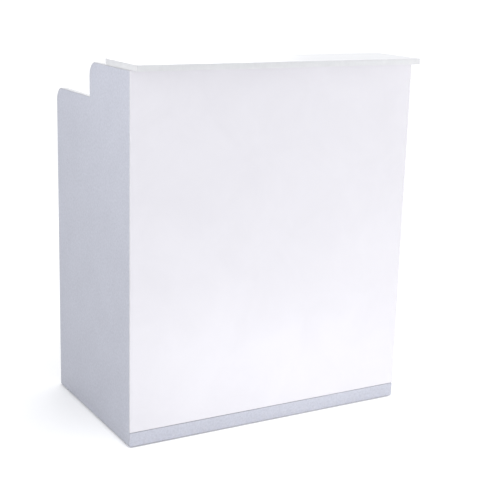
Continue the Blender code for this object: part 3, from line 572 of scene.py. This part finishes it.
def plastic(name, dark, light):
    made, tree, shader, place = start_finish(name, 0.45)
    skin = use_group(tree, PEBBLED_SKIN, Place=place, Grain=1400.0)
    roughness = spread(tree, skin["Height"], 0.2, 0.9, 0.52, 0.38)
    end_finish(tree, shader, swing(tree, skin["Tone"], dark, light), roughness, skin["Height"], 0.00004)
    return made


ZINC = metal("zinc_plate", (0.50, 0.51, 0.53, 1), (0.66, 0.67, 0.69, 1), 0.26, 0.42, (500.0, 20.0, 500.0))
NICKEL = metal("satin_nickel_plate", (0.56, 0.545, 0.52, 1), (0.66, 0.645, 0.62, 1), 0.24, 0.34,
               (25.0, 700.0, 700.0))
BLACK_PLASTIC = plastic("moulded_black", (0.022, 0.022, 0.024, 1), (0.038, 0.038, 0.040, 1))
GREY_PLASTIC = plastic("moulded_grey", (0.30, 0.31, 0.33, 1), (0.38, 0.39, 0.41, 1))
print(ZINC.name, NICKEL.name, BLACK_PLASTIC.name, GREY_PLASTIC.name)

# %% [markdown]
# ## Dressing the boards
# A CAD node that already has the right shape only needs its finish. The front panel, ledge, work surface,
# kick strip and side panels each have a finish of their own, because the handled-edge group needs the
# board's own corners.

# %% Give each CAD node its finish
def dress(node, finish):
    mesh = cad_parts[node].data
    if not mesh.materials:
        mesh.materials.append(finish)
    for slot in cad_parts[node].material_slots:
        slot.material = finish


PLAIN_MELAMINE = melamine("pebbled_melamine")
for node in ("left_side_panel", "right_side_panel", "kick_strip"):
    dress(node, melamine(node + "_melamine", *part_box(node)))
for node in ("front_board", "toe_board", "rear_toe_board", "bottom_deck", "mid_shelf", "centre_divider",
             "adjustable_shelf"):
    dress(node, PLAIN_MELAMINE)
for node in ("bottom_deck", "mid_shelf", "work_surface", "centre_divider", "adjustable_shelf"):
    dress(node + "_edge_band", EDGE_BAND)
for node in ("drawer_front", "drawer_left_side", "drawer_right_side", "drawer_back"):
    dress(node, DRAWER_BOARD)
dress("front_panel", GLOSS_FRONT)
dress("customer_ledge", LEDGE_TOP)
dress("work_surface", WORK_TOP)
dress("drawer_bottom", HARDBOARD)
dress("ledge_cleat", BEECH)
dress("lock_plug", NICKEL)
for hand, side in SIDES:
    for member in ("outer", "middle", "inner"):
        dress(f"{hand}_slide_{member}", ZINC)
    dress(f"drawer_pull_screw_{hand}", ZINC)
    dress(f"lock_strike_screw_{hand}", ZINC)
    for row in ("front", "rear"):
        dress(f"ledge_dowel_{hand}_{row}", BEECH)
for node in ("lock_cam", "lock_nut", "lock_cam_screw", "lock_strike"):
    dress(node, ZINC)
dress("cable_grommet_cap", BLACK_PLASTIC)
print("dressed", sum(1 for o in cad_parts.values() if o.material_slots))

# %% [markdown]
# ## Finer pieces
# The rest is modelled afresh. Every new piece is drawn in the counter's own frame with bmesh operators,
# gets a finish, rides on the body that it belongs to, and hides the CAD node that it stands for, where there
# is one. The helper merges doubles and turns the faces outwards, because a spin can leave a shape inside out.

# %% Helper: finish a piece
SMOOTH_DEGREES = 32


def whole(bm):
    bmesh.ops.remove_doubles(bm, verts=bm.verts, dist=1e-6)
    bmesh.ops.recalc_face_normals(bm, faces=bm.faces)


def finish_piece(bm, name, finish, body, replaces=()):
    mesh = bpy.data.meshes.new(name)
    bm.to_mesh(mesh)
    bm.free()
    mesh.materials.append(finish)
    mesh.shade_smooth()
    mesh.set_sharp_from_angle(angle=math.radians(SMOOTH_DEGREES))
    piece = bpy.data.objects.new(name, mesh)
    bpy.context.scene.collection.objects.link(piece)
    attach(piece, body)
    if replaces:
        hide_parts(*replaces)
    print(name, len(mesh.polygons), "faces on", body)


def round_over(bm, width, degrees=40, segments=3):
    """Bevels every edge that turns by more than the given angle."""
    sharp = [e for e in bm.edges if e.is_manifold and e.calc_face_angle(0) > math.radians(degrees)]
    bmesh.ops.bevel(bm, geom=sharp, offset=width, offset_type="OFFSET", affect="EDGES", segments=segments,
                    profile=0.5, material=-1)


# %% [markdown]
# ### The side panels' edge bands
# A band follows the panel's stepped edge from the rear foot to the top, round two rolled corners and into
# one sharp inner corner. It could be cut from a thick outline. Here it is made as it is on the machine: a
# line is drawn, the line is drawn out to a ribbon as wide as the board, and the ribbon gets its thickness.

# %% Edge bands on the side panels
STEP_HEIGHT = 0.952
UPPER_DEPTH = 0.283
CORNER_RADIUS = 0.042
BAND_THICKNESS, BAND_ROUNDING = 0.002, 0.0007
ARC_STEPS = 20


def stepped_line(node):
    """The panel's rear and top edge as (depth, height) points."""
    low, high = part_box(node)
    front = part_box("front_panel")[0].y
    upper_rear = front + UPPER_DEPTH
    line = [(high.y, low.z)]
    for rear, top in ((high.y, STEP_HEIGHT), (upper_rear, high.z)):
        for i in range(ARC_STEPS + 1):
            angle = math.pi / 2 * i / ARC_STEPS
            line.append((rear - CORNER_RADIUS * (1 - math.cos(angle)),
                         top - CORNER_RADIUS * (1 - math.sin(angle))))
        if rear == high.y:
            line.append((upper_rear, STEP_HEIGHT))
    line.append((low.y, high.z))
    return line


def side_band(hand):
    node = hand + "_side_edge_band"
    low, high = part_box(node)
    bm = bmesh.new()
    verts = [bm.verts.new((low.x, y, z)) for y, z in stepped_line(node)]
    edges = [bm.edges.new(pair) for pair in zip(verts, verts[1:])]
    ribbon = bmesh.ops.extrude_edge_only(bm, edges=edges)["geom"]
    far = [item for item in ribbon if isinstance(item, bmesh.types.BMVert)]
    bmesh.ops.translate(bm, verts=far, vec=(high.x - low.x, 0, 0))
    bmesh.ops.recalc_face_normals(bm, faces=bm.faces)
    if sum(f.normal.y for f in bm.faces) < 0:
        bmesh.ops.reverse_faces(bm, faces=bm.faces)
    bmesh.ops.solidify(bm, geom=bm.faces[:], thickness=BAND_THICKNESS)
    whole(bm)
    round_over(bm, BAND_ROUNDING)
    finish_piece(bm, hand + "_rolled_band", EDGE_BAND, CABINET, [node])


for hand in ("left", "right"):
    side_band(hand)

# %% [markdown]
# ### The customer ledge's band
# The ledge is banded on all four edges, and the band's ends meet at corners that are rounded by hand with
# a file. A box loses its top and bottom, its upright corners are bevelled round, and the walls that are
# left get the band's thickness inwards.

# %% Ledge band
LEDGE_BAND, LEDGE_CORNER, LEDGE_ROUNDING = 0.001, 0.0018, 0.00035


def ledge_band():
    low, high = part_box("customer_ledge_edge_band")
    size, middle = high - low, (high + low) / 2
    bm = bmesh.new()
    bmesh.ops.create_cube(bm, size=1, matrix=Matrix.Translation(middle) @ Matrix.Diagonal((*size, 1)))
    lids = [f for f in bm.faces if abs(f.normal.z) > 0.9]
    bmesh.ops.delete(bm, geom=lids, context="FACES_ONLY")
    upright = [e for e in bm.edges if abs(e.verts[0].co.z - e.verts[1].co.z) > size.z / 2]
    bmesh.ops.bevel(bm, geom=upright, offset=LEDGE_CORNER, offset_type="OFFSET", affect="EDGES",
                    segments=5, profile=0.5, material=-1)
    bmesh.ops.solidify(bm, geom=bm.faces[:], thickness=LEDGE_BAND)
    whole(bm)
    round_over(bm, LEDGE_ROUNDING, segments=2)
    finish_piece(bm, "ledge_banding", EDGE_BAND, CABINET, ["customer_ledge_edge_band"])


ledge_band()

# %% [markdown]
# ### The drawer pull
# A bar pull is a bent rod with a small collar at each foot. It could be a curve with a round bevel. Here a
# ring of edges is pushed out, spun round each bend and pushed along, which is how a rod is really bent.

# %% Drawer pull
PULL_RADIUS = 0.004
COLLAR_RADIUS = 0.0063
COLLAR_HEIGHT = 0.0016
BEND_RADIUS = 0.011
PULL_ROUNDING = 0.0003


def push(bm, ring, way):
    """Extrudes a ring of edges by a vector, and returns the new ring."""
    made = bmesh.ops.extrude_edge_only(bm, edges=ring)["geom"]
    verts = [item for item in made if isinstance(item, bmesh.types.BMVert)]
    bmesh.ops.translate(bm, verts=verts, vec=way)
    return [item for item in made if isinstance(item, bmesh.types.BMEdge)
            and all(v in verts for v in item.verts)]


def resize(bm, ring, centre, factor):
    verts = list({v for e in ring for v in e.verts})
    bmesh.ops.scale(bm, verts=verts, vec=(factor,) * 3, space=Matrix.Translation(-Vector(centre)))


def bend(bm, ring, centre, axis):
    made = bmesh.ops.spin(bm, geom=ring, cent=centre, axis=axis, angle=math.pi / 2, steps=10,
                          use_duplicate=False)["geom_last"]
    return [item for item in made if isinstance(item, bmesh.types.BMEdge)]


def drawer_pull():
    low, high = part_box("drawer_pull")
    z = (low.z + high.z) / 2
    left, right = low.x + PULL_RADIUS, high.x - PULL_RADIUS
    foot, bar = low.y, high.y - PULL_RADIUS
    bm = bmesh.new()
    start = Vector((left, foot, z))
    place = Matrix.Translation(start) @ Matrix.Rotation(math.pi / 2, 4, "X")
    bmesh.ops.create_circle(bm, cap_ends=False, segments=24, radius=COLLAR_RADIUS, matrix=place)
    ring = bm.edges[:]
    ring = push(bm, ring, (0, COLLAR_HEIGHT, 0))
    ring = push(bm, ring, (0, 0, 0))
    resize(bm, ring, start, PULL_RADIUS / COLLAR_RADIUS)
    bmesh.ops.translate(bm, verts=list({v for e in ring for v in e.verts}),
                        vec=(0, COLLAR_HEIGHT * (1 - PULL_RADIUS / COLLAR_RADIUS), 0))
    ring = push(bm, ring, (0, bar - BEND_RADIUS - foot - COLLAR_HEIGHT, 0))
    ring = bend(bm, ring, (left + BEND_RADIUS, bar - BEND_RADIUS, z), (0, 0, -1))
    ring = push(bm, ring, ((right - left) / 2 - BEND_RADIUS, 0, 0))
    middle = (left + right) / 2
    bmesh.ops.mirror(bm, geom=bm.verts[:] + bm.edges[:] + bm.faces[:], axis="X", merge_dist=1e-5,
                     matrix=Matrix.Translation((-middle, 0, 0)))
    whole(bm)
    bmesh.ops.holes_fill(bm, edges=[e for e in bm.edges if e.is_boundary], sides=0)
    whole(bm)
    round_over(bm, PULL_ROUNDING, degrees=60, segments=2)
    finish_piece(bm, "bar_pull", NICKEL, DRAWER, ["drawer_pull"])


drawer_pull()

# %% [markdown]
# ## Turned pieces
# Pins, glides, the lock's barrel and the grommet's liner are round, so each is a line of (radius, distance)
# points spun once round its axis. One helper draws them all along any axis.

# %% Helper: turn a profile
def take_in(bm, part, seat, way):
    """Adds a part drawn along +Z to a larger mesh, standing on its seat and looking along way."""
    aim = Vector((0, 0, 1)).rotation_difference(Vector(way)).to_matrix().to_4x4()
    bmesh.ops.transform(part, matrix=Matrix.Translation(Vector(seat)) @ aim, verts=part.verts)
    carrier = bpy.data.meshes.new("carrier")
    part.to_mesh(carrier)
    part.free()
    bm.from_mesh(carrier)
    bpy.data.meshes.remove(carrier)


def turn(bm, profile, seat, way, steps):
    """Spins a profile of (radius, distance) points about an axis that runs from seat along way."""
    part = bmesh.new()
    verts = [part.verts.new((radius, 0, distance)) for radius, distance in profile]
    solid = profile[0][0] == profile[-1][0] == 0
    closing = [] if solid else [(verts[-1], verts[0])]
    edges = [part.edges.new(pair) for pair in [*zip(verts, verts[1:]), *closing]]
    bmesh.ops.spin(part, geom=verts + edges, cent=(0, 0, 0), axis=(0, 0, 1), angle=math.tau, steps=steps,
                   use_merge=True)
    whole(part)
    take_in(bm, part, seat, way)


print("turning ready")

# %% [markdown]
# ### Shelf pins and floor glides
# A shelf pin is a nickel peg with a thin collar that stops it at the wall and a rounded tip. A glide is a
# dished plastic foot on a nail. Both keep the CAD node's place: the pin's peg carries the shelf, and the
# glide's face is the floor line.

# %% Shelf pins and floor glides
PIN_COLLAR, PIN_COLLAR_THICK, PIN_TIP = 0.0040, 0.0008, 0.0008
SHELF_CLEARANCE = 0.001


def shelf_pin(name, node, side):
    low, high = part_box(node)
    radius, length = (high.y - low.y) / 2, high.x - low.x
    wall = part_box("adjustable_shelf")[1].x + SHELF_CLEARANCE
    inside = length - (max(abs(low.x), abs(high.x)) - wall)
    collar = inside - PIN_COLLAR_THICK
    profile = [(0, 0), (radius - PIN_TIP, 0), (radius, PIN_TIP), (radius, collar),
               (PIN_COLLAR - 0.0002, collar), (PIN_COLLAR, collar + 0.0002), (PIN_COLLAR, inside - GAP),
               (radius, inside - GAP), (radius, length - PIN_TIP), (radius - PIN_TIP, length), (0, length)]
    bm = bmesh.new()
    seat = Vector((side * (max(abs(low.x), abs(high.x)) - length), (low.y + high.y) / 2, high.z - radius))
    turn(bm, profile, seat, (side, 0, 0), 24)
    finish_piece(bm, name, NICKEL, CABINET, [node])


def floor_glide(name, node):
    low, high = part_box(node)
    radius = (high.y - low.y) / 2
    profile = [(0, 0.0006), (radius * 0.55, 0.0003), (radius * 0.8, 0), (radius * 0.92, 0.0003),
               (radius, 0.0014), (radius, 0.0030), (0.0011, 0.0030), (0.0011, 0.0150), (0, 0.0172)]
    bm = bmesh.new()
    turn(bm, profile, ((low.x + high.x) / 2, (low.y + high.y) / 2, 0), (0, 0, 1), 32)
    finish_piece(bm, name, GREY_PLASTIC, CABINET, [node])


for hand, side in SIDES:
    for row in ("front", "rear"):
        shelf_pin(f"collared_pin_{hand}_{row}", f"shelf_pin_{hand}_{row}", side)
        floor_glide(f"nail_glide_{hand}_{row}", f"floor_glide_{hand}_{row}")

# %% [markdown]
# ### Lock barrel and cable grommet
# The lock's barrel shows as a small domed bezel round the plug. The grommet's liner has a rolled lip, a
# straight wall and the step that the cap rests on. Both are hollow, so their profiles are closed loops.

# %% Lock barrel and grommet liner
BEZEL_LIP = 0.0028
LINER_WALL, LINER_THICK, CAP_STEP, LIP_THICK = 0.0296, 0.0018, 0.0038, 0.0022


def lock_barrel():
    low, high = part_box("lock_body")
    plug_low, plug_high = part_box("lock_plug")
    bore = (plug_high.z - plug_low.z) / 2 + GAP
    bezel = (high.z - low.z) / 2
    barrel = bezel - BEZEL_LIP
    length = high.y - low.y
    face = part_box("drawer_front")[1].y - low.y + GAP
    profile = [(bore, 0), (barrel - 0.0004, 0), (barrel, 0.0004), (barrel, face), (bezel, face),
               (bezel, face + 0.0006), (bezel - 0.0004, face + 0.0012), (bezel - 0.0012, length - 0.0002),
               (bezel - 0.0022, length), (bore + 0.0012, length), (bore + 0.0006, length - 0.0003),
               (bore, length - 0.0009)]
    bm = bmesh.new()
    turn(bm, profile, ((low.x + high.x) / 2, low.y, (low.z + high.z) / 2), (0, 1, 0), 48)
    finish_piece(bm, "lock_barrel_shell", NICKEL, DRAWER, ["lock_body"])


def grommet_liner():
    low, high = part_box("cable_grommet_liner")
    flange, height = (high.x - low.x) / 2, high.z - low.z
    inner, step = LINER_WALL - LINER_THICK, LINER_WALL - CAP_STEP
    seat = height - LIP_THICK
    profile = [(LINER_WALL, 0), (LINER_WALL, seat + 0.0003), (flange - 0.0002, seat + 0.0003),
               (flange, seat + 0.0006), (flange - 0.0005, height - 0.0007),
               (flange - 0.0016, height - 0.0001), (flange - 0.0030, height), (inner + 0.0008, height),
               (inner + 0.0002, height - 0.0002), (inner, height - 0.0008), (inner, seat - 0.0035),
               (step, seat - 0.0035), (step, seat - 0.0055), (inner, seat - 0.0060), (inner, 0)]
    bm = bmesh.new()
    turn(bm, profile, ((low.x + high.x) / 2, (low.y + high.y) / 2, low.z), (0, 0, 1), 72)
    finish_piece(bm, "grommet_ring", BLACK_PLASTIC, CABINET, ["cable_grommet_liner"])


lock_barrel()
grommet_liner()

# %% [markdown]
# ## Crossed heads
# Screws and cam locks are turned with a crossed driver, so their heads share a cross-shaped recess. A grid
# of nine squares is squeezed to the cross's widths, the five squares of the cross are pushed down, and the
# grid's rim is bridged to a circle, from which the rest of the head or cam is drawn.

# %% Helper: a crossed head on a shank
ARM_HALF, ARM_REACH = 0.17, 0.62
RECESS_TAPER, TOP_SHARE, UPPER_RIM = 0.72, 0.9, 0.35


def squeeze_grid(value, radius):
    return math.copysign((ARM_REACH if abs(value) > 0.5 else ARM_HALF) * radius, value)


def add_crossed(bm, seat, way, head, length):
    """A head whose top looks along way from its seat, with a shank that runs back from it."""
    radius, rim, recess, shank = head
    part = bmesh.new()
    bmesh.ops.create_grid(part, x_segments=3, y_segments=3, size=1)
    for vert in part.verts:
        vert.co.x, vert.co.y = squeeze_grid(vert.co.x, radius), squeeze_grid(vert.co.y, radius)
    border = [e for e in part.edges if e.is_boundary]
    limit = ARM_HALF * radius
    cross = [f for f in part.faces if min(map(abs, f.calc_center_median().xy)) < limit]
    sunk = bmesh.ops.extrude_face_region(part, geom=cross)["geom"]
    floor = [item for item in sunk if isinstance(item, bmesh.types.BMVert)]
    bmesh.ops.translate(part, verts=floor, vec=(0, 0, -recess))
    bmesh.ops.scale(part, verts=floor, vec=(RECESS_TAPER, RECESS_TAPER, 1))
    bmesh.ops.delete(part, geom=[f for f in cross if f.is_valid], context="FACES")
    circle = bmesh.ops.create_circle(part, cap_ends=False, segments=20, radius=radius * TOP_SHARE)["verts"]
    ring = list({e for v in circle for e in v.link_edges})
    bmesh.ops.bridge_loops(part, edges=border + ring)
    ring = push(part, ring, (0, 0, -rim * UPPER_RIM))
    resize(part, ring, (0, 0, -rim * UPPER_RIM), 1 / TOP_SHARE)
    ring = push(part, ring, (0, 0, -rim * (1 - UPPER_RIM)))
    if shank < radius:
        ring = push(part, ring, (0, 0, 0))
        resize(part, ring, (0, 0, -rim), shank / radius)
    ring = push(part, ring, (0, 0, -length))
    bmesh.ops.holes_fill(part, edges=ring, sides=0)
    whole(part)
    take_in(bm, part, Vector(seat) + Vector(way) * rim, way)


def crossed_group(name, seats, body, head, length, replaces=()):
    """A group of like fasteners, one for each (seat, way). A head is (radius, rim, recess, shank)."""
    bm = bmesh.new()
    for seat, way in seats:
        add_crossed(bm, seat, way, head, length)
    finish_piece(bm, name, ZINC, body, replaces)


print("crossed heads ready")

# %% [markdown]
# ### Cam locks and their bolts
# Flat-pack carcasses are drawn together by cam locks: a bolt in the side panel reaches into the board's
# end, and a quarter turn of the cam grips its head. The CAD boards have the bores. Each cam sits in its
# own, flush with the board, where staff see it from below or behind.

# %% Cam locks and bolts
CAM_RADIUS, CAM_LENGTH, CAM_SET = 0.0073, 0.0103, 0.034
CAM_HEAD = (CAM_RADIUS, 0.0010, 0.0032, CAM_RADIUS)
CAM_SINK = 0.0012
BOLT_GAP = 0.001
BOLT_PROFILE = ((0, 0), (0.0029, 0), (0.0029, 0.003), (0.0018, 0.0036), (0.0018, 0.008), (0.0029, 0.009),
                (0.0029, 0.0355), (0, 0.0355))
DECK_ROWS, WORK_ROWS = (-0.170, 0.200), (-0.170, 0.170)
FRONT_ROWS, TOE_ROW = (0.160, 0.560, 0.960), 0.030
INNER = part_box("right_side_panel")[0].x


def fittings():
    """Each fitting as (side, y, z of the bolt, way that the cam faces)."""
    for hand, side in SIDES:
        for node, rows in (("bottom_deck", DECK_ROWS), ("mid_shelf", DECK_ROWS), ("work_surface", WORK_ROWS)):
            for y in rows:
                yield side, y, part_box(node)[0].z + BOARD / 2, (0, 0, -1)
        for node, rows, way in (("front_board", FRONT_ROWS, 1), ("toe_board", (TOE_ROW,), 1),
                                ("rear_toe_board", (TOE_ROW,), -1)):
            low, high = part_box(node)
            for z in rows:
                yield side, (low.y + high.y) / 2, z, (0, way, 0)


def cam_locks():
    seats, bolts = [], bmesh.new()
    for side, y, z, way in fittings():
        centre = Vector((side * (INNER - CAM_SET), y, z))
        seats.append((centre + Vector(way) * (BOARD / 2 - CAM_SINK), way))
        reach = Vector((side * (INNER - CAM_SET + CAM_RADIUS + BOLT_GAP), y, z))
        turn(bolts, BOLT_PROFILE, reach, (side, 0, 0), 10)
    crossed_group("cam_locks", seats, CABINET, CAM_HEAD, CAM_LENGTH)
    finish_piece(bolts, "cam_bolts", ZINC, CABINET)


cam_locks()

# %% [markdown]
# ### Screws
# The front panel and kick strip are held from behind, so the customer sees none of the screws. The slides,
# the drawer box, the cleat and the strike have their own. Each group is one piece that rides on its body.

# %% Screws
SHANK_RADIUS = 0.0017
PANEL_HEAD = (0.0036, 0.0016, 0.0012, SHANK_RADIUS)
SLIDE_HEAD = (0.0036, 0.0012, 0.0009, SHANK_RADIUS)
BOX_HEAD = (0.0033, 0.0010, 0.0008, SHANK_RADIUS)
PULL_HEAD = (0.0036, 0.0015, 0.0011, SHANK_RADIUS)
STRIKE_HEAD = (0.0032, 0.0014, 0.0010, SHANK_RADIUS)
FRONT_SPOTS = [(x, z) for x in (-0.36, 0, 0.36) for z in (0.14, 0.60, 1.00)]
KICK_SPOTS = [(x, 0.024) for x in (-0.38, 0, 0.38)]
CLEAT_SPOTS = (-0.26, 0, 0.26)
BOX_SPOTS = (0.794, 0.848)
POINT_COVER = 0.0026
CLEAT_INSET, BOX_INSET = 0.013, 0.006
SLIDE_WEB = 0.0015
FIRST_HOLE, LAST_HOLE = 0.035, 0.050


def panel_screws(name, spots, backing, panel):
    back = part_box(backing)[1].y
    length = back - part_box(panel)[0].y - POINT_COVER
    seats = [((x, back + GAP, z), (0, 1, 0)) for x, z in spots]
    crossed_group(name, seats, CABINET, PANEL_HEAD, length)


panel_screws("front_panel_screws", FRONT_SPOTS, "front_board", "front_panel")
panel_screws("kick_strip_screws", KICK_SPOTS, "toe_board", "kick_strip")
cleat_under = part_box("ledge_cleat")[0].z - GAP
front_board_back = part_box("front_board")[1].y
crossed_group("ledge_cleat_screws",
              [((x, front_board_back + CLEAT_INSET, cleat_under), (0, 0, -1)) for x in CLEAT_SPOTS],
              CABINET, PANEL_HEAD, 0.050)

slide_low, slide_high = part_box("left_slide_outer")
slide_middle_z = (slide_low.z + slide_high.z) / 2
slide_rows = (slide_low.y + FIRST_HOLE, slide_high.y - LAST_HOLE)
fixed_seats, drawer_seats, box_seats = [], [], []
for hand, side in SIDES:
    inward = -side
    outer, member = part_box(f"{hand}_slide_outer"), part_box(f"{hand}_slide_inner")
    web = (outer[0] if inward > 0 else outer[1]).x + inward * SLIDE_WEB
    inner_web = (member[1] if inward > 0 else member[0]).x - inward * SLIDE_WEB
    wall_low, wall_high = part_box(f"drawer_{hand}_side")
    outside = (wall_low if inward > 0 else wall_high).x
    for y in slide_rows:
        fixed_seats.append(((web, y, slide_middle_z), (inward, 0, 0)))
        drawer_seats.append(((inner_web, y, slide_middle_z), (-inward, 0, 0)))
    for z in BOX_SPOTS:
        box_seats.append(((outside - inward * GAP, wall_low.y + BOX_INSET, z), (-inward, 0, 0)))
crossed_group("slide_screws", fixed_seats, CABINET, SLIDE_HEAD, 0.0100)
crossed_group("drawer_slide_screws", drawer_seats, DRAWER, SLIDE_HEAD, 0.0095)
crossed_group("drawer_box_screws", box_seats, DRAWER, BOX_HEAD, 0.032)

HEAD_REST = 0.0015
for hand in ("left", "right"):
    low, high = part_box(f"drawer_pull_screw_{hand}")
    crossed_group(f"pull_screw_{hand}",
                  [(((low.x + high.x) / 2, low.y + HEAD_REST, (low.z + high.z) / 2), (0, -1, 0))],
                  DRAWER, PULL_HEAD, 0.024, [f"drawer_pull_screw_{hand}"])
    low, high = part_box(f"lock_strike_screw_{hand}")
    crossed_group(f"strike_screw_{hand}",
                  [(((low.x + high.x) / 2, (low.y + high.y) / 2, low.z + HEAD_REST), (0, 0, -1))],
                  CABINET, STRIKE_HEAD, 0.0115, [f"lock_strike_screw_{hand}"])

# %% [markdown]
# ### Dowels
# Fluted beech dowels line the divider and the drawer front up with their neighbours. They are hidden once
# the counter is together, and are here because the counter does not hold together without them.

# %% Dowels
DIVIDER_DOWEL, DRAWER_DOWEL = 0.0039, 0.0029
IN_BOARD, IN_END = 0.0098, 0.0198


def dowel_group(name, ends, radius, body):
    bm = bmesh.new()
    for start, end in ends:
        way = Vector(end) - Vector(start)
        length, chamfer = way.length, radius * 0.3
        turn(bm, [(0, 0), (radius - chamfer, 0), (radius, chamfer), (radius, length - chamfer),
                  (radius - chamfer, length), (0, length)], start, way.normalized(), 14)
    finish_piece(bm, name, BEECH, body)


divider_low, divider_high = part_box("centre_divider")
divider_x = (divider_low.x + divider_high.x) / 2
dowel_group("divider_dowels",
            [((divider_x, y, z - IN_BOARD), (divider_x, y, z + IN_BOARD))
             for y in (-0.15, 0.10) for z in (divider_low.z - GAP, divider_high.z)], DIVIDER_DOWEL, CABINET)
front_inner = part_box("drawer_front")[0].y
drawer_dowels = []
for hand in ("left", "right"):
    low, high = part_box(f"drawer_{hand}_side")
    x = (low.x + high.x) / 2
    drawer_dowels += [((x, front_inner - IN_END, z), (x, front_inner + IN_BOARD, z)) for z in BOX_SPOTS]
dowel_group("drawer_dowels", drawer_dowels, DRAWER_DOWEL, DRAWER)
